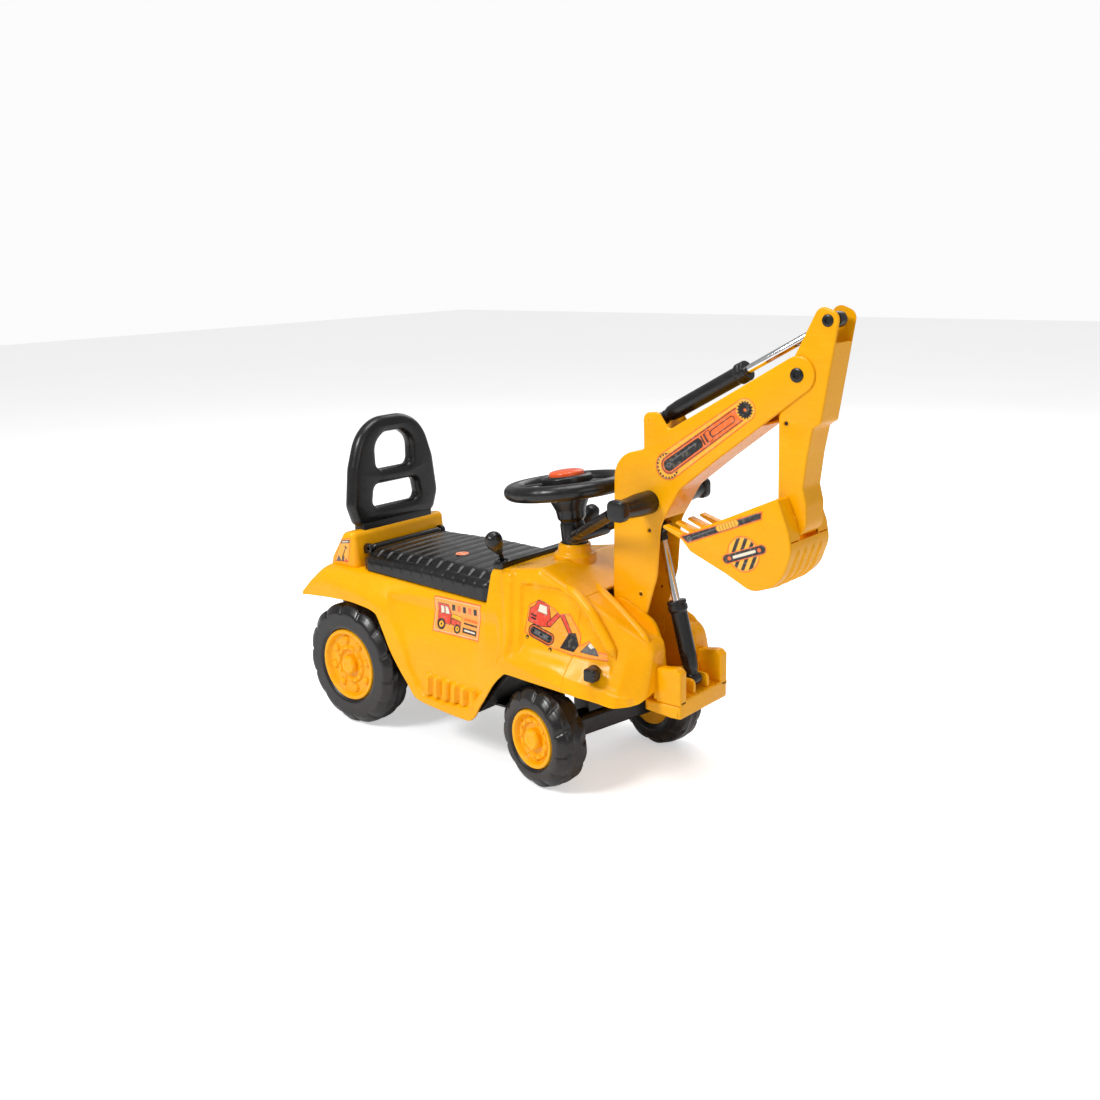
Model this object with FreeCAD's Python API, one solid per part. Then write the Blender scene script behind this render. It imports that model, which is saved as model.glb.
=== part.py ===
"""Ride-on toy excavator: one STEP file per piece, millimetres, +Z up, +X forward, +Y left.

Working frame: the origin is on the ground under the rear axle's middle. Every piece is moved back
by BOX_CENTRE_X on export, so that the finished part's origin is at the bottom centre of its box.
The rest pose has the boom raised, the bucket curled and the front wheels turned a little right.
"""
import FreeCAD, Part
import math
import os

Vec = FreeCAD.Vector

# ---- driving dimensions -------------------------------------------------------------------------
BOX_CENTRE_X = 305.5       # middle of the whole toy's length
WALL = 3.0                 # moulded wall thickness
GAP = 0.4                  # least distance between bodies that pass each other
RUN = 0.05                 # radial running clearance of pins and shafts

REAR_R, REAR_HUB_R, REAR_Y = 91.2, 53.5, 102.0
FRONT_R, FRONT_HUB_R, FRONT_Y = 66.8, 39.9, 104.4
WHEEL_W = 48.0
AXLE_R = 5.0
KINGPIN_X = 358.0          # vertical steering axis of the front axle
KINGPIN_R = 20.0
FRONT_AXLE_X = 380.0
STEER_REST = -9.74         # front wheels and steering wheel at rest, degrees about +Z

DECK_Z, DECK_SLOPE = 230.0, -0.0298    # seat deck height over the rear axle, and its fall per mm
SEAT_X0, SEAT_X1, SEAT_Y = 9.0, 256.0, 92.0
SEAT_HINGE = (5.0, 257.0)  # x, z
SEAT_HINGE_R = 2.5

COLUMN_TOP = (319.5, 390.0)            # horn button's middle, x, z
COLUMN_RAKE = 7.0                      # degrees the column leans back
RIM_R, RIM_TUBE = 73.5, 11.5

BOOM_FOOT = (440.0, 200.0)             # x, z
BOOM_FOOT_R = 6.0
BOOM_HALF, BOOM_WALL = 24.0, 2.5
STICK_PIVOT = (668.0, 534.3)
STICK_PIVOT_R = 5.0
STICK_HALF = 21.0
STICK_EAR = (701.6, 593.2)
BUCKET_PIVOT = (663.0, 372.0)
BUCKET_PIVOT_R = 4.0
BUCKET_HALF = 45.0
GRIP = (470.5, 371.0)
GRIP_R = 14.5
RAM_LOW_FOOT, RAM_LOW_TOP = (519.5, 146.0), (470.0, 335.0)
RAM_UP_FOOT, RAM_UP_TOP = (472.5, 470.5), STICK_EAR
RAM_BARREL_R, RAM_ROD_R = 10.5, 5.0
PIN_R = 3.0
EYE_PLAY = 2.6             # slack round the pin at each ram's open end

LEVER_BALL = (266.0, 71.0, 268.0)      # x, |y|, z of each gear lever's ball
LEVER_KNEE = (266.5, 73.0, 283.0)
LEVER_TIP = (274.5, 90.0, 301.0)
LEVER_R, LEVER_SOCKET_R = 3.2, 7.0


# ---- helpers ------------------------------------------------------------------------------------
def box(x0, x1, y0, y1, z0, z1):
    """Axis-aligned box between two corners."""
    return Part.makeBox(x1 - x0, y1 - y0, z1 - z0, Vec(x0, y0, z0))


def rod(start, end, radius):
    """Round bar between two points."""
    a, b = Vec(*start), Vec(*end)
    return Part.makeCylinder(radius, (b - a).Length, a, b - a)


def cross_rod(place, radius, y0, y1):
    """Round bar along Y at (x, z)."""
    return rod((place[0], y0, place[1]), (place[0], y1, place[1]), radius)


def fuse(shapes):
    """One solid of several that touch or overlap."""
    joined = shapes[0]
    if len(shapes) > 1:
        joined = joined.fuse(shapes[1:])
    return joined.removeSplitter()


def mirror(shape):
    """The same shape on the other side of the middle plane."""
    return shape.mirror(Vec(0, 0, 0), Vec(0, 1, 0))


def rounded_wire(corners, y):
    """Closed outline in the plane Y = y from (x, z) or (x, z, radius) corners."""
    points = [Vec(c[0], y, c[1]) for c in corners]
    radii = [c[2] if len(c) > 2 else 0.0 for c in corners]
    starts, ends, arcs = [], [], []
    for i, point in enumerate(points):
        back = (points[i - 1] - point).normalize()
        ahead = (points[(i + 1) % len(points)] - point).normalize()
        half = back.getAngle(ahead) / 2
        if radii[i] <= 0 or half > 1.56:
            starts.append(point)
            ends.append(point)
            arcs.append(None)
            continue
        reach = radii[i] / math.tan(half)
        middle = point + (back + ahead).normalize() * (radii[i] / math.sin(half) - radii[i])
        starts.append(point + back * reach)
        ends.append(point + ahead * reach)
        arcs.append(Part.Arc(starts[-1], middle, ends[-1]).toShape())
    edges = []
    for i in range(len(points)):
        if arcs[i]:
            edges.append(arcs[i])
        following = starts[(i + 1) % len(points)]
        if (following - ends[i]).Length > 1e-6:
            edges.append(Part.makeLine(ends[i], following))
    return Part.Wire(edges)


def plate(corners, y0, y1):
    """Outline in XZ pushed out from y0 to y1."""
    return Part.Face(rounded_wire(corners, y0)).extrude(Vec(0, y1 - y0, 0))


def inset_plate(corners, inset, y0, y1):
    """The same outline drawn in by a wall thickness, pushed out from y0 to y1."""
    face = Part.Face(rounded_wire(corners, y0)).makeOffset2D(-inset)
    return face.extrude(Vec(0, y1 - y0, 0))


def half_shell(corners, half, wall):
    """One moulded half of a hollow beam: side plate at +Y and a rim wall down to the joint."""
    return plate(corners, 0, half).cut(inset_plate(corners, wall, -1, half - wall))


def section_loft(stations, inset=0.0, drop=0.0):
    """Flat-faced solid through half sections: (x, [(y, z), ...]) from the top middle to the bottom."""
    rings = []
    for x, half in stations:
        side = [(max(y - inset, 0.0), z - inset) for y, z in half[:-1]]
        side.append((half[-1][0] - inset, half[-1][1] - drop))
        rings.append([Vec(x, y, z) for y, z in side] + [Vec(x, -y, z) for y, z in reversed(side[1:])])
    faces = [Part.Face(Part.makePolygon(ring + [ring[0]])) for ring in (rings[0], rings[-1])]
    for ring, following in zip(rings, rings[1:]):
        for i in range(len(ring)):
            k = (i + 1) % len(ring)
            left_side = i < len(ring) / 2
            diagonal = (ring[i], following[k]) if left_side else (following[i], ring[k])
            others = (following[i], ring[k]) if left_side else (ring[i], following[k])
            for corner in others:
                faces.append(Part.Face(Part.makePolygon([diagonal[0], diagonal[1], corner, diagonal[0]])))
    solid = Part.makeSolid(Part.makeShell(faces))
    if solid.Volume < 0:
        solid.reverse()
    return solid


def turned(profile, base, axis):
    """Solid of revolution from (radius, height) corners about an axis through base."""
    points = [Vec(r, 0, h) for r, h in profile]
    face = Part.Face(Part.makePolygon(points + [points[0]]))
    solid = face.revolve(Vec(0, 0, 0), Vec(0, 0, 1), 360)
    solid.Placement = FreeCAD.Placement(Vec(*base), FreeCAD.Rotation(Vec(0, 0, 1), Vec(*axis)))
    return solid


def turned_about_z(shape, degrees, x):
    """A shape turned about the vertical line through (x, 0)."""
    copy = shape.copy()
    copy.rotate(Vec(x, 0, 0), Vec(0, 0, 1), degrees)
    return copy


def deck(x):
    """Height of the seat deck at x."""
    return DECK_Z + DECK_SLOPE * x


# ---- body ---------------------------------------------------------------------------------------
REAR_STATIONS = [
    (-102, [(0, 190), (99, 190), (110, 189), (117.5, 186), (118, 180)]),
    (-86, [(0, 209), (97, 209), (110, 206), (117.5, 198), (118, 182)]),
    (-55, [(0, 230), (92, 230), (107, 226), (117.5, 212), (118, 184.5)]),
    (1, [(0, deck(1)), (90, deck(1)), (106, 224), (117.5, 208), (118, 187)]),
    (59, [(0, deck(59)), (90, deck(59)), (102, 222), (116.5, 198), (118, 179)]),
    (136, [(0, deck(136)), (90, deck(136)), (97, 212), (112, 150), (118, 68.5)]),
    (236, [(0, deck(236)), (90, deck(236)), (97, 208), (112, 140), (118, 59)]),
    (258, [(0, deck(258)), (90, deck(258)), (97, 208), (112, 150), (118, 84)]),
]
HOOD_STATIONS = [
    (258, [(0, 268), (84, 266), (90, 250), (110, 170), (118, 84)]),
    (308, [(0, 275), (83, 274), (89, 256), (109, 176), (118, 141)]),
    (341, [(0, 281), (82, 280), (88, 262), (108, 172), (118, 139.5)]),
    (425, [(0, 238), (66, 236), (77, 224), (101, 166), (114, 136)]),
    (474, [(0, 212), (60, 211), (68, 199), (92, 156), (102, 129)]),
    (500, [(0, 198), (56, 197), (61, 188), (70, 152), (78, 132)]),
]
HUMP = [(-64, 226), (-60, 240), (-33, 279, 9), (-8, 284, 9), (-3, 226)]
TOWER = (331.6, 0, 0)
SLOT_HALF = 29.4           # boom slot in the hood, half width
LID_LUG = (70.0, 76.0)     # hinge lugs behind the seat, inner and outer |y|


def lever_socket(side):
    """Upright hole for one gear lever's ball."""
    x, y, _ = LEVER_BALL
    return rod((x, side * y, 250), (x, side * y, 290), LEVER_SOCKET_R)


def body_shell():
    """Yellow body: rear fenders, seat deck, hump, hood with its boom slot, and steering tower."""
    rear_outer = section_loft(REAR_STATIONS)
    rear_inner_stations = [(-99, REAR_STATIONS[0][1])] + REAR_STATIONS[1:-1] + [(262, REAR_STATIONS[-1][1])]
    rear_inner = section_loft(rear_inner_stations, WALL, 40)
    hood_inner_stations = [(255, HOOD_STATIONS[0][1])] + HOOD_STATIONS[1:-1] + [(497, HOOD_STATIONS[-1][1])]
    hood_outer = section_loft(HOOD_STATIONS)
    front_wall = box(200, 261, -130, 130, deck(258) - 3.2, 300)
    hood_inner = section_loft(hood_inner_stations, WALL, 40).cut(front_wall)
    hump_outer = plate(HUMP, -92, 92)
    hump_inner = plate([(-66, 200), (-56, 240), (-31, 275), (-11, 280), (-6, 200)], -89, 89)
    tower = turned([(0, 240), (28, 240), (28, 283), (23, 286), (21, 297), (0, 297)], TOWER, (0, 0, 1))
    shell = fuse([rear_outer, hood_outer, hump_outer, tower])
    shell = shell.cut([rear_inner, hood_inner, hump_inner])
    tower_bore = turned([(0, 200), (25, 200), (25, 280), (18, 283), (18, 300), (0, 300)], TOWER, (0, 0, 1))
    seat_opening = box(28, 237, -69, 69, 200, 240)
    boom_slot = box(402, 520, -SLOT_HALF, SLOT_HALF, 100, 320)
    backrest_socket = box(-32, -10, -70, 70, 262, 290)
    shell = shell.cut([tower_bore, seat_opening, boom_slot, backrest_socket])
    lug = fuse([box(-7, 5, LID_LUG[0], LID_LUG[1], 250.5, 263.5), cross_rod(SEAT_HINGE, 6.5, *LID_LUG)])
    lug = lug.cut(cross_rod(SEAT_HINGE, SEAT_HINGE_R, 60, 90))
    shell = fuse([shell, lug, mirror(lug)])
    for side in (-1, 1):
        shell = shell.cut(lever_socket(side))
    return shell


def storage_tub():
    """Yellow box under the seat lid."""
    outer = box(28, 237, -69, 69, 104, deck(237) - 4)
    return outer.cut(box(28 + WALL, 237 - WALL, -66, 66, 104 + WALL, 260))


def chassis_tray():
    """Black underside: floor, inner wheel-arch walls, rear axle carrier, front axle plate."""
    floor = box(-64, 262, -73, 73, 70, 73)
    middle_floor = box(140, 240, -108, 108, 70, 73)
    wall = box(-64, 128, 70, 73, 70, 184)
    back = box(-64, -61, -73, 73, 70, 184)
    liner = plate([(243, 70), (246, 70), (306, 136), (395, 136), (395, 142), (303, 142)], -106, 106)
    liner = liner.cut(box(330, 400, -120, -68, 100, 150)).cut(box(330, 400, 68, 120, 100, 150))
    boss = rod((KINGPIN_X, 0, 136), (KINGPIN_X, 0, 142), 30)
    tray = fuse([floor, middle_floor, wall, mirror(wall), back, liner, boss])
    tray = tray.cut(rod((KINGPIN_X, 0, 120), (KINGPIN_X, 0, 160), KINGPIN_R + RUN))
    return tray.cut(cross_rod((0, REAR_R), AXLE_R, -90, 90))


def boom_cradle():
    """Lining of the hood's slot: two round-topped plates, a floor and a back wall."""
    cheek = [(402, 140), (402, 236, 8), (428, 244, 16), (480, 222, 26), (494, 190, 10), (498, 140)]
    side = plate(cheek, BOOM_HALF + 1.0, SLOT_HALF)
    floor = box(402, 500, -SLOT_HALF, SLOT_HALF, 140, 144)
    back = box(402, 405, -SLOT_HALF, SLOT_HALF, 140, 236)
    cradle = fuse([side, mirror(side), floor, back])
    return cradle.cut(cross_rod(BOOM_FOOT, BOOM_FOOT_R, -40, 40))


def nose_platform():
    """Yellow platform in front of the cheeks: floor, side walls and the lower ram's lugs."""
    floor = plate([(500.5, 129), (536, 129), (536, 134, 2), (500.5, 134)], -53, 53)
    wall = plate([(500.5, 134), (500.5, 172, 4), (530, 176, 8), (536, 170, 3), (536, 134)], 38, 53)
    lug = plate([(508, 134), (508, 150, 5), (531, 150, 5), (531, 134)], 13, 17)
    nose = fuse([floor, wall, mirror(wall), lug, mirror(lug)])
    return nose.cut(cross_rod(RAM_LOW_FOOT, PIN_R, -30, 30))


def nose_skirt():
    """Lower yellow moulding under the platform."""
    outer = plate([(482, 112), (536, 110, 2), (536, 129), (482, 129)], -53, 53)
    return outer.cut(box(482 + WALL, 536 - WALL, -50, 50, 100, 126))


def backrest():
    """Black back frame with two windows and a tongue that drops into the hump."""
    outline = [(-76, 285, 8), (-87, 316, 20), (-80, 372, 60), (-56, 442, 62), (56, 442, 62),
               (80, 372, 60), (87, 316, 20), (76, 285, 8)]
    low = [(-44, 313, 9), (-39, 343, 9), (39, 343, 9), (44, 313, 9)]
    high = [(-32, 367, 9), (-34, 404, 22), (-16, 416, 14), (16, 416, 14), (34, 404, 22), (32, 367, 9)]
    frame = plate(outline, -11, 11).cut([plate(low, -20, 20), plate(high, -20, 20)])
    frame.rotate(Vec(0, 0, 0), Vec(0, 0, 1), 90)
    frame.translate(Vec(-21, 0, 0))
    return fuse([frame, box(-32, -10, -70, 70, 263, 286)])


def lever_console():
    """Black strip along the hood's rear edge with two lever sockets."""
    strip = plate([(257.7, 268.3), (257.7, 275, 3), (276, 277.5, 3), (276, 271)], -82, 82)
    for side in (-1, 1):
        strip = strip.cut(lever_socket(side))
    return strip


def lever_stem(side):
    """Bent black stem on a small ball."""
    start, knee, tip = ((x, side * y, z) for x, y, z in (LEVER_BALL, LEVER_KNEE, LEVER_TIP))
    ball = Part.makeSphere(LEVER_SOCKET_R - 1.0, Vec(*start))
    bend = Part.makeSphere(LEVER_R, Vec(*knee))
    return fuse([ball, rod(start, knee, LEVER_R), bend, rod(knee, tip, LEVER_R)])


def lever_knob(side):
    """Pear-shaped grip on the lever's end."""
    knee, tip = (Vec(x, side * y, z) for x, y, z in (LEVER_KNEE, LEVER_TIP))
    along = (tip - knee).normalize()
    profile = [(LEVER_R, -11), (5, -11), (10.2, 6), (11.5, 14), (10, 22), (5.5, 27), (0, 28.2), (0, 0),
               (LEVER_R, 0)]
    return turned(profile, tuple(tip), tuple(along))


def headlamp(side):
    """Black lamp box on a round boss outside the hood's cheek."""
    boss = rod((437, side * 97.5, 166), (441, side * 107, 166), 9)
    lamp = box(436, 454, side * 110 - 7, side * 110 + 7, 159, 175)
    return fuse([boss, lamp]).cut(section_loft(HOOD_STATIONS))


# ---- wheels -------------------------------------------------------------------------------------
def wheel_parts(radius, hub_radius, centre, side, lugs):
    """Tyre, hub and cap of one wheel. Heights along the axis grow outwards."""
    half = WHEEL_W / 2
    base = (centre[0], side * centre[1], centre[2])
    outward = (0, side, 0)
    shoulder = radius - 11
    tyre_profile = [(hub_radius, -half + 3), (hub_radius + 5, -half), (shoulder, -half),
                    (radius - 3, -half + 6), (radius, -half + 12), (radius, half - 12),
                    (radius - 3, half - 6), (shoulder, half), (hub_radius + 5, half), (hub_radius, half - 3)]
    tyre = turned(tyre_profile, base, outward)
    notches = []
    for i in range(lugs):
        turn = math.radians(360 * i / lugs)
        x, z = centre[0] + (radius + 4) * math.cos(turn), centre[2] + (radius + 4) * math.sin(turn)
        start = Vec(x, side * (centre[1] + half - 9), z)
        notches.append(Part.makeCylinder(8, 20, start, Vec(*outward)))
    hollow = turned([(hub_radius - 1, -half + 7), (radius - 9, -half + 7), (radius - 9, half - 14),
                     (hub_radius - 1, half - 14)], base, outward)
    tyre = tyre.cut(notches + [hollow])
    bore = AXLE_R + RUN
    ring = hub_radius - 6
    hub_profile = [(bore, -half + 2), (13, -half + 2), (13, 6), (ring, 10), (ring, -half + 4),
                   (hub_radius, -half + 4), (hub_radius, half - 3), (hub_radius - 2, half - 0.5),
                   (ring, half - 0.5), (ring - 2, half - 6), (24, half - 8), (22, half - 4), (17, half - 4),
                   (16, half - 8), (bore, half - 8)]
    hub = turned(hub_profile, base, outward)
    bosses = []
    for i in range(8):
        turn = math.radians(45 * i + 22.5)
        reach = (ring + 24) / 2
        x, z = centre[0] + reach * math.cos(turn), centre[2] + reach * math.sin(turn)
        spot = Vec(x, side * (centre[1] + half - 9), z)
        bosses.append(Part.makeCone(5.0, 3.4, 5, spot, Vec(*outward)))
    hub = fuse([hub] + bosses)
    cap_profile = [(0, half - 4), (7, half - 4), (7, half - 8), (14, half - 8), (14, half - 2),
                   (10, half + 0.3), (0, half + 0.6)]
    cap = turned(cap_profile, base, outward)
    return tyre, hub, cap


def rear_axle():
    """Steel rod through the tray and both rear wheels."""
    reach = REAR_Y + WHEEL_W / 2 - 5
    return cross_rod((0, REAR_R), AXLE_R, -reach, reach)


def front_axle_beam():
    """Black beam with the upright boss that turns in the front plate."""
    boss_profile = [(0, 60), (24, 60), (24, 135.6), (KINGPIN_R, 135.6), (KINGPIN_R, 142.4), (23, 142.4),
                    (23, 148), (16, 148), (16, 120), (0, 120)]
    boss = turned(boss_profile, (KINGPIN_X, 0, 0), (0, 0, 1))
    beam = plate([(365, 54, 4), (396, 54, 4), (396, 82, 8), (365, 82, 8)], -77.5, 77.5)
    web = plate([(358, 60), (392, 60), (386, 96, 6), (358, 112)], -34, 34)
    beam = fuse([boss, beam, web])
    return beam.cut(cross_rod((FRONT_AXLE_X, FRONT_R), AXLE_R, -90, 90))


def front_axle_rod():
    """Steel rod through the beam and both front wheels."""
    reach = FRONT_Y + WHEEL_W / 2 - 5
    return cross_rod((FRONT_AXLE_X, FRONT_R), AXLE_R, -reach, reach)


# ---- steering -----------------------------------------------------------------------------------
RAKE = math.radians(COLUMN_RAKE)
COLUMN_UP = (-math.sin(RAKE), 0, math.cos(RAKE))


def on_column(profile):
    """Solid of revolution about the raked column; heights are below the button's middle."""
    return turned([(r, -h) for r, h in profile], (COLUMN_TOP[0], 0, COLUMN_TOP[1]), COLUMN_UP)


def column_frame(shape):
    """Place a shape drawn about the Z axis on the column, turned with the front wheels."""
    placed = shape.copy()
    placed.rotate(Vec(0, 0, 0), Vec(0, 0, 1), STEER_REST)
    tilt = FreeCAD.Rotation(Vec(0, 0, 1), Vec(*COLUMN_UP))
    lean = FreeCAD.Placement(Vec(COLUMN_TOP[0], 0, COLUMN_TOP[1]), tilt)
    placed.Placement = lean.multiply(placed.Placement)
    return placed


def steering_wheel():
    """Black rim, four spokes and a hub pan that holds the horn button."""
    rim = Part.makeTorus(RIM_R, RIM_TUBE, Vec(0, 0, -19))
    pan_profile = [(7, -30), (27, -30), (33, -16), (33, -5), (24.5, -5), (24.5, -16), (7, -16)]
    pan = turned(pan_profile, (0, 0, 0), (0, 0, 1))
    spokes = []
    for turn in (35, 145, 215, 325):
        spoke = box(28, RIM_R, -9, 9, -24, -13)
        spoke.rotate(Vec(0, 0, 0), Vec(0, 0, 1), turn)
        spokes.append(spoke)
    return column_frame(fuse([rim, pan] + spokes))


def horn_button():
    """Orange domed push button in the hub pan."""
    profile = [(0, -3.5), (12, -2.8), (20, -0.5), (24.1, 3), (24.1, 10), (0, 10)]
    return on_column(profile)


def column_bell():
    """Black bell and collar under the hub."""
    profile = [(AXLE_R, 30), (24, 30), (23, 38), (19, 46), (18, 62), (15, 66), (16, 72), (16, 104),
               (AXLE_R, 104)]
    return on_column(profile)


def steering_shaft():
    """Steel rod from the hub down into the front axle's socket."""
    nut = [(0, 18), (7, 18), (7, 30), (AXLE_R, 30), (AXLE_R, 246), (0, 246)]
    return on_column(nut)


# ---- boom ---------------------------------------------------------------------------------------
BOOM = [(416, 176, 23), (413, 257, 30), (417, 426, 36), (462, 434, 6), (461.5, 480, 9.5), (484, 482, 8.5),
        (499, 461.8, 6), (675, 562.2, 20.8), (696.3, 529.2, 20.8), (564.3, 430, 60),
        (514.5, 390.8, 30), (486, 343, 40), (481, 278.6, 40), (461, 214, 30), (462, 176, 20)]


def boom_half(side):
    """One moulded boom half with its holes and, at the free end, room for the stick."""
    shell = half_shell(BOOM, BOOM_HALF, BOOM_WALL)
    inner = BOOM_HALF - BOOM_WALL
    stick_room = plate([(600, 490), (636, 560), (720, 600), (720, 480), (640, 470)], -1, inner)
    ram_channel = plate([(452, 352), (520, 352), (520, 150), (400, 150), (400, 250), (452, 250)], -1, inner)
    ear_room = plate([(455, 452), (455, 500), (540, 520), (510, 452)], -1, 14)
    shell = shell.cut([stick_room, ram_channel, ear_room])
    upper_screw, lower_screw = (465, 400), (456.5, 251.5)
    bosses = [cross_rod(BOOM_FOOT, 12, 0, inner + 0.5), cross_rod(upper_screw, 6, 0, inner + 0.5)]
    shell = fuse([shell] + bosses)
    shell = shell.cut([cross_rod(BOOM_FOOT, BOOM_FOOT_R + RUN, -1, 60), cross_rod(GRIP, GRIP_R, -1, 60),
                       cross_rod(STICK_PIVOT, STICK_PIVOT_R, -1, 60), cross_rod(RAM_LOW_TOP, PIN_R, -1, 60),
                       cross_rod(RAM_UP_FOOT, PIN_R, -1, 60), cross_rod(lower_screw, 2.4, -1, 60),
                       cross_rod(upper_screw, 2.0, -1, 60)])
    return shell if side > 0 else mirror(shell)


def grip_bar():
    """Black bar through the boom, tapering towards its ends."""
    middle = cross_rod(GRIP, GRIP_R, -40, 40)
    taper = Part.makeCone(GRIP_R, 12.0, 40, Vec(GRIP[0], 40, GRIP[1]), Vec(0, 1, 0))
    return fuse([middle, taper, mirror(taper)])


def grip_cap(side):
    """Rounded square end block of the bar."""
    x, z = GRIP
    half, corner = 13, 6
    square = [(x - half, z - half, corner), (x + half, z - half, corner),
              (x + half, z + half, corner), (x - half, z + half, corner)]
    block = plate(square, 80, 94)
    return block if side > 0 else mirror(block)


def u_handle():
    """Black fork from both end blocks back to a short barrel in front of the column."""
    barrel = (357.5, 313.0)
    arms = []
    for side in (-1, 1):
        start = Vec(GRIP[0] - 12, side * 86, GRIP[1] - 6)
        end = Vec(barrel[0] + 3, side * 33, barrel[1] + 3)
        arms.append(rod(tuple(start), tuple(end), 7.0))
    handle = fuse([cross_rod(barrel, 8.5, -38, 38)] + arms)
    blocks = [grip_cap(1), grip_cap(-1)]
    return handle.cut(blocks + [grip_bar()])


def pin(place, radius, half, head=0.0):
    """Steel pin along Y, with round heads outside when asked."""
    shape = cross_rod(place, radius, -half, half)
    if head:
        shape = fuse([shape, cross_rod(place, radius + 3, half, half + head),
                      cross_rod(place, radius + 3, -half - head, -half)])
    return shape


# ---- rams ---------------------------------------------------------------------------------------
def ram(foot, top, barrel_length):
    """Barrel with its foot eye, and rod with its top eye, in a straight line."""
    barrel_r, rod_r = RAM_BARREL_R, RAM_ROD_R
    start, end = Vec(foot[0], 0, foot[1]), Vec(top[0], 0, top[1])
    along = (end - start).normalize()
    length = (end - start).Length
    profile = [(0, 12), (barrel_r - 2, 12), (barrel_r, 30), (barrel_r, barrel_length - 14),
               (barrel_r + 2, barrel_length - 12), (barrel_r + 2, barrel_length), (0, barrel_length)]
    barrel = turned(profile, tuple(start), tuple(along))
    neck = turned([(0, 0), (7.5, 0), (7.5, 14), (0, 14)], tuple(start), tuple(along))
    bore = turned([(0, 30), (rod_r + RUN, 30), (rod_r + RUN, barrel_length + 1), (0, barrel_length + 1)],
                  tuple(start), tuple(along))
    barrel = fuse([barrel, neck, cross_rod(foot, 8.0, -9, 9)])
    barrel = barrel.cut([bore, cross_rod(foot, PIN_R + RUN, -20, 20)])
    eye = cross_rod(top, PIN_R + EYE_PLAY + 3.2, -7, 7)
    inside = barrel_length - 36
    rod_profile = [(0, inside), (rod_r, inside), (rod_r, length - 6), (0, length - 6)]
    rod_shape = turned(rod_profile, tuple(start), tuple(along))
    rod_shape = fuse([rod_shape, eye]).cut(cross_rod(top, PIN_R + EYE_PLAY, -20, 20))
    return barrel, rod_shape


# ---- stick and bucket ---------------------------------------------------------------------------
STICK = [(691, 610, 11), (661.9, 553.5, 10), (644.7, 487, 12), (645.8, 393, 8), (643, 352, 18.6),
         (683, 352, 18.6), (681.5, 391, 6), (676.8, 409, 10), (681.3, 446.5, 4), (687, 476.4, 3),
         (696.4, 483, 3), (715.5, 600.5, 11)]


def stick_half(side):
    """One moulded half of the stick, open between its ears and round its foot."""
    shell = half_shell(STICK, STICK_HALF, BOOM_WALL)
    inner = STICK_HALF - BOOM_WALL
    ears = plate([(650, 566), (650, 620), (730, 620), (730, 574)], -1, inner)
    ram_path = plate([(600, 540), (600, 640), (700, 640), (676, 540)], -1, 12)
    shell = shell.cut([ears, ram_path])
    bushes = [cross_rod(STICK_PIVOT, 9, 0, inner + 0.5), cross_rod(BUCKET_PIVOT, 8, 0, inner + 0.5)]
    shell = fuse([shell] + bushes)
    screw = (654.4, 480.2)
    shell = shell.cut([cross_rod(STICK_PIVOT, STICK_PIVOT_R + RUN, -1, 60),
                       cross_rod(BUCKET_PIVOT, BUCKET_PIVOT_R + RUN, -1, 60),
                       cross_rod(STICK_EAR, PIN_R, -1, 60), cross_rod(screw, 2.0, -1, 60)])
    return shell if side > 0 else mirror(shell)


BUCKET = [(527.5, 339.7), (543.7, 323.4, 2), (592.8, 303.8, 10), (628, 287, 26), (664, 300, 40),
          (678, 340, 30), (674, 362, 6), (659, 400, 3)]


def bucket():
    """Open bucket with side plates, a slotted back for the stick's foot, two cheeks and teeth."""
    outer = plate(BUCKET, -BUCKET_HALF, BUCKET_HALF)
    hollow = [(520, 345), (548, 328), (594, 307.5, 8), (628, 291, 22), (661, 303, 36), (674.5, 340, 26),
              (670, 361, 4), (652, 412), (500, 350)]
    body = outer.cut(plate(hollow, -BUCKET_HALF + WALL, BUCKET_HALF - WALL))
    notch_half = STICK_HALF + GAP
    notch = [(630, 350.6), (690, 350.6), (690, 420), (630, 420)]
    body = body.cut(plate(notch, -notch_half, notch_half))
    cheek_outline = [(655, 350), (654, 378, 6), (661, 381, 5), (670, 377, 5), (675.5, 350), (670, 320),
                     (645, 330)]
    cheek = plate(cheek_outline, notch_half, notch_half + WALL)
    teeth = []
    for y in (-39.4, -13.1, 13.1, 39.4):
        tooth = [(528.5, 336.5), (504, 347.5, 1.5), (506, 350.5, 1), (530, 343)]
        teeth.append(plate(tooth, y - 5.5, y + 5.5))
    body = fuse([body, cheek, mirror(cheek)] + teeth)
    return body.cut(cross_rod(BUCKET_PIVOT, BUCKET_PIVOT_R, -60, 60))


# ---- seat ---------------------------------------------------------------------------------------
def seat_lid():
    """Black grooved lid with a hinge bead along its rear top edge."""
    def station(x, top, pull):
        edge = SEAT_Y - pull
        low = deck(x) + GAP
        return x, [(0, top), (64 - pull, top - 1), (83 - pull, top - 7), (edge, top - 17), (edge, low)]
    stations = [station(SEAT_X0, 256, 6), station(SEAT_X0 + 10, 261, 1), station(130, 259, 0),
                station(SEAT_X1 - 10, 260, 0), station(SEAT_X1, 257, 3)]
    inner = [(SEAT_X0 + WALL, stations[0][1])] + stations[1:-1] + [(SEAT_X1 - WALL, stations[-1][1])]
    lid = section_loft(stations).cut(section_loft(inner, WALL, 20))
    bead = cross_rod(SEAT_HINGE, 5.5, -68, 68)
    bridge = box(SEAT_HINGE[0], SEAT_X0 + 6, -66, 66, 251, 256)
    lid = fuse([lid, bead, bridge])
    lug_room = box(-10, 13, LID_LUG[0] - 1, LID_LUG[1] + 1, 246, 270)
    return lid.cut([lug_room, mirror(lug_room), cross_rod(SEAT_HINGE, SEAT_HINGE_R + RUN, -70, 70)])


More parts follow.
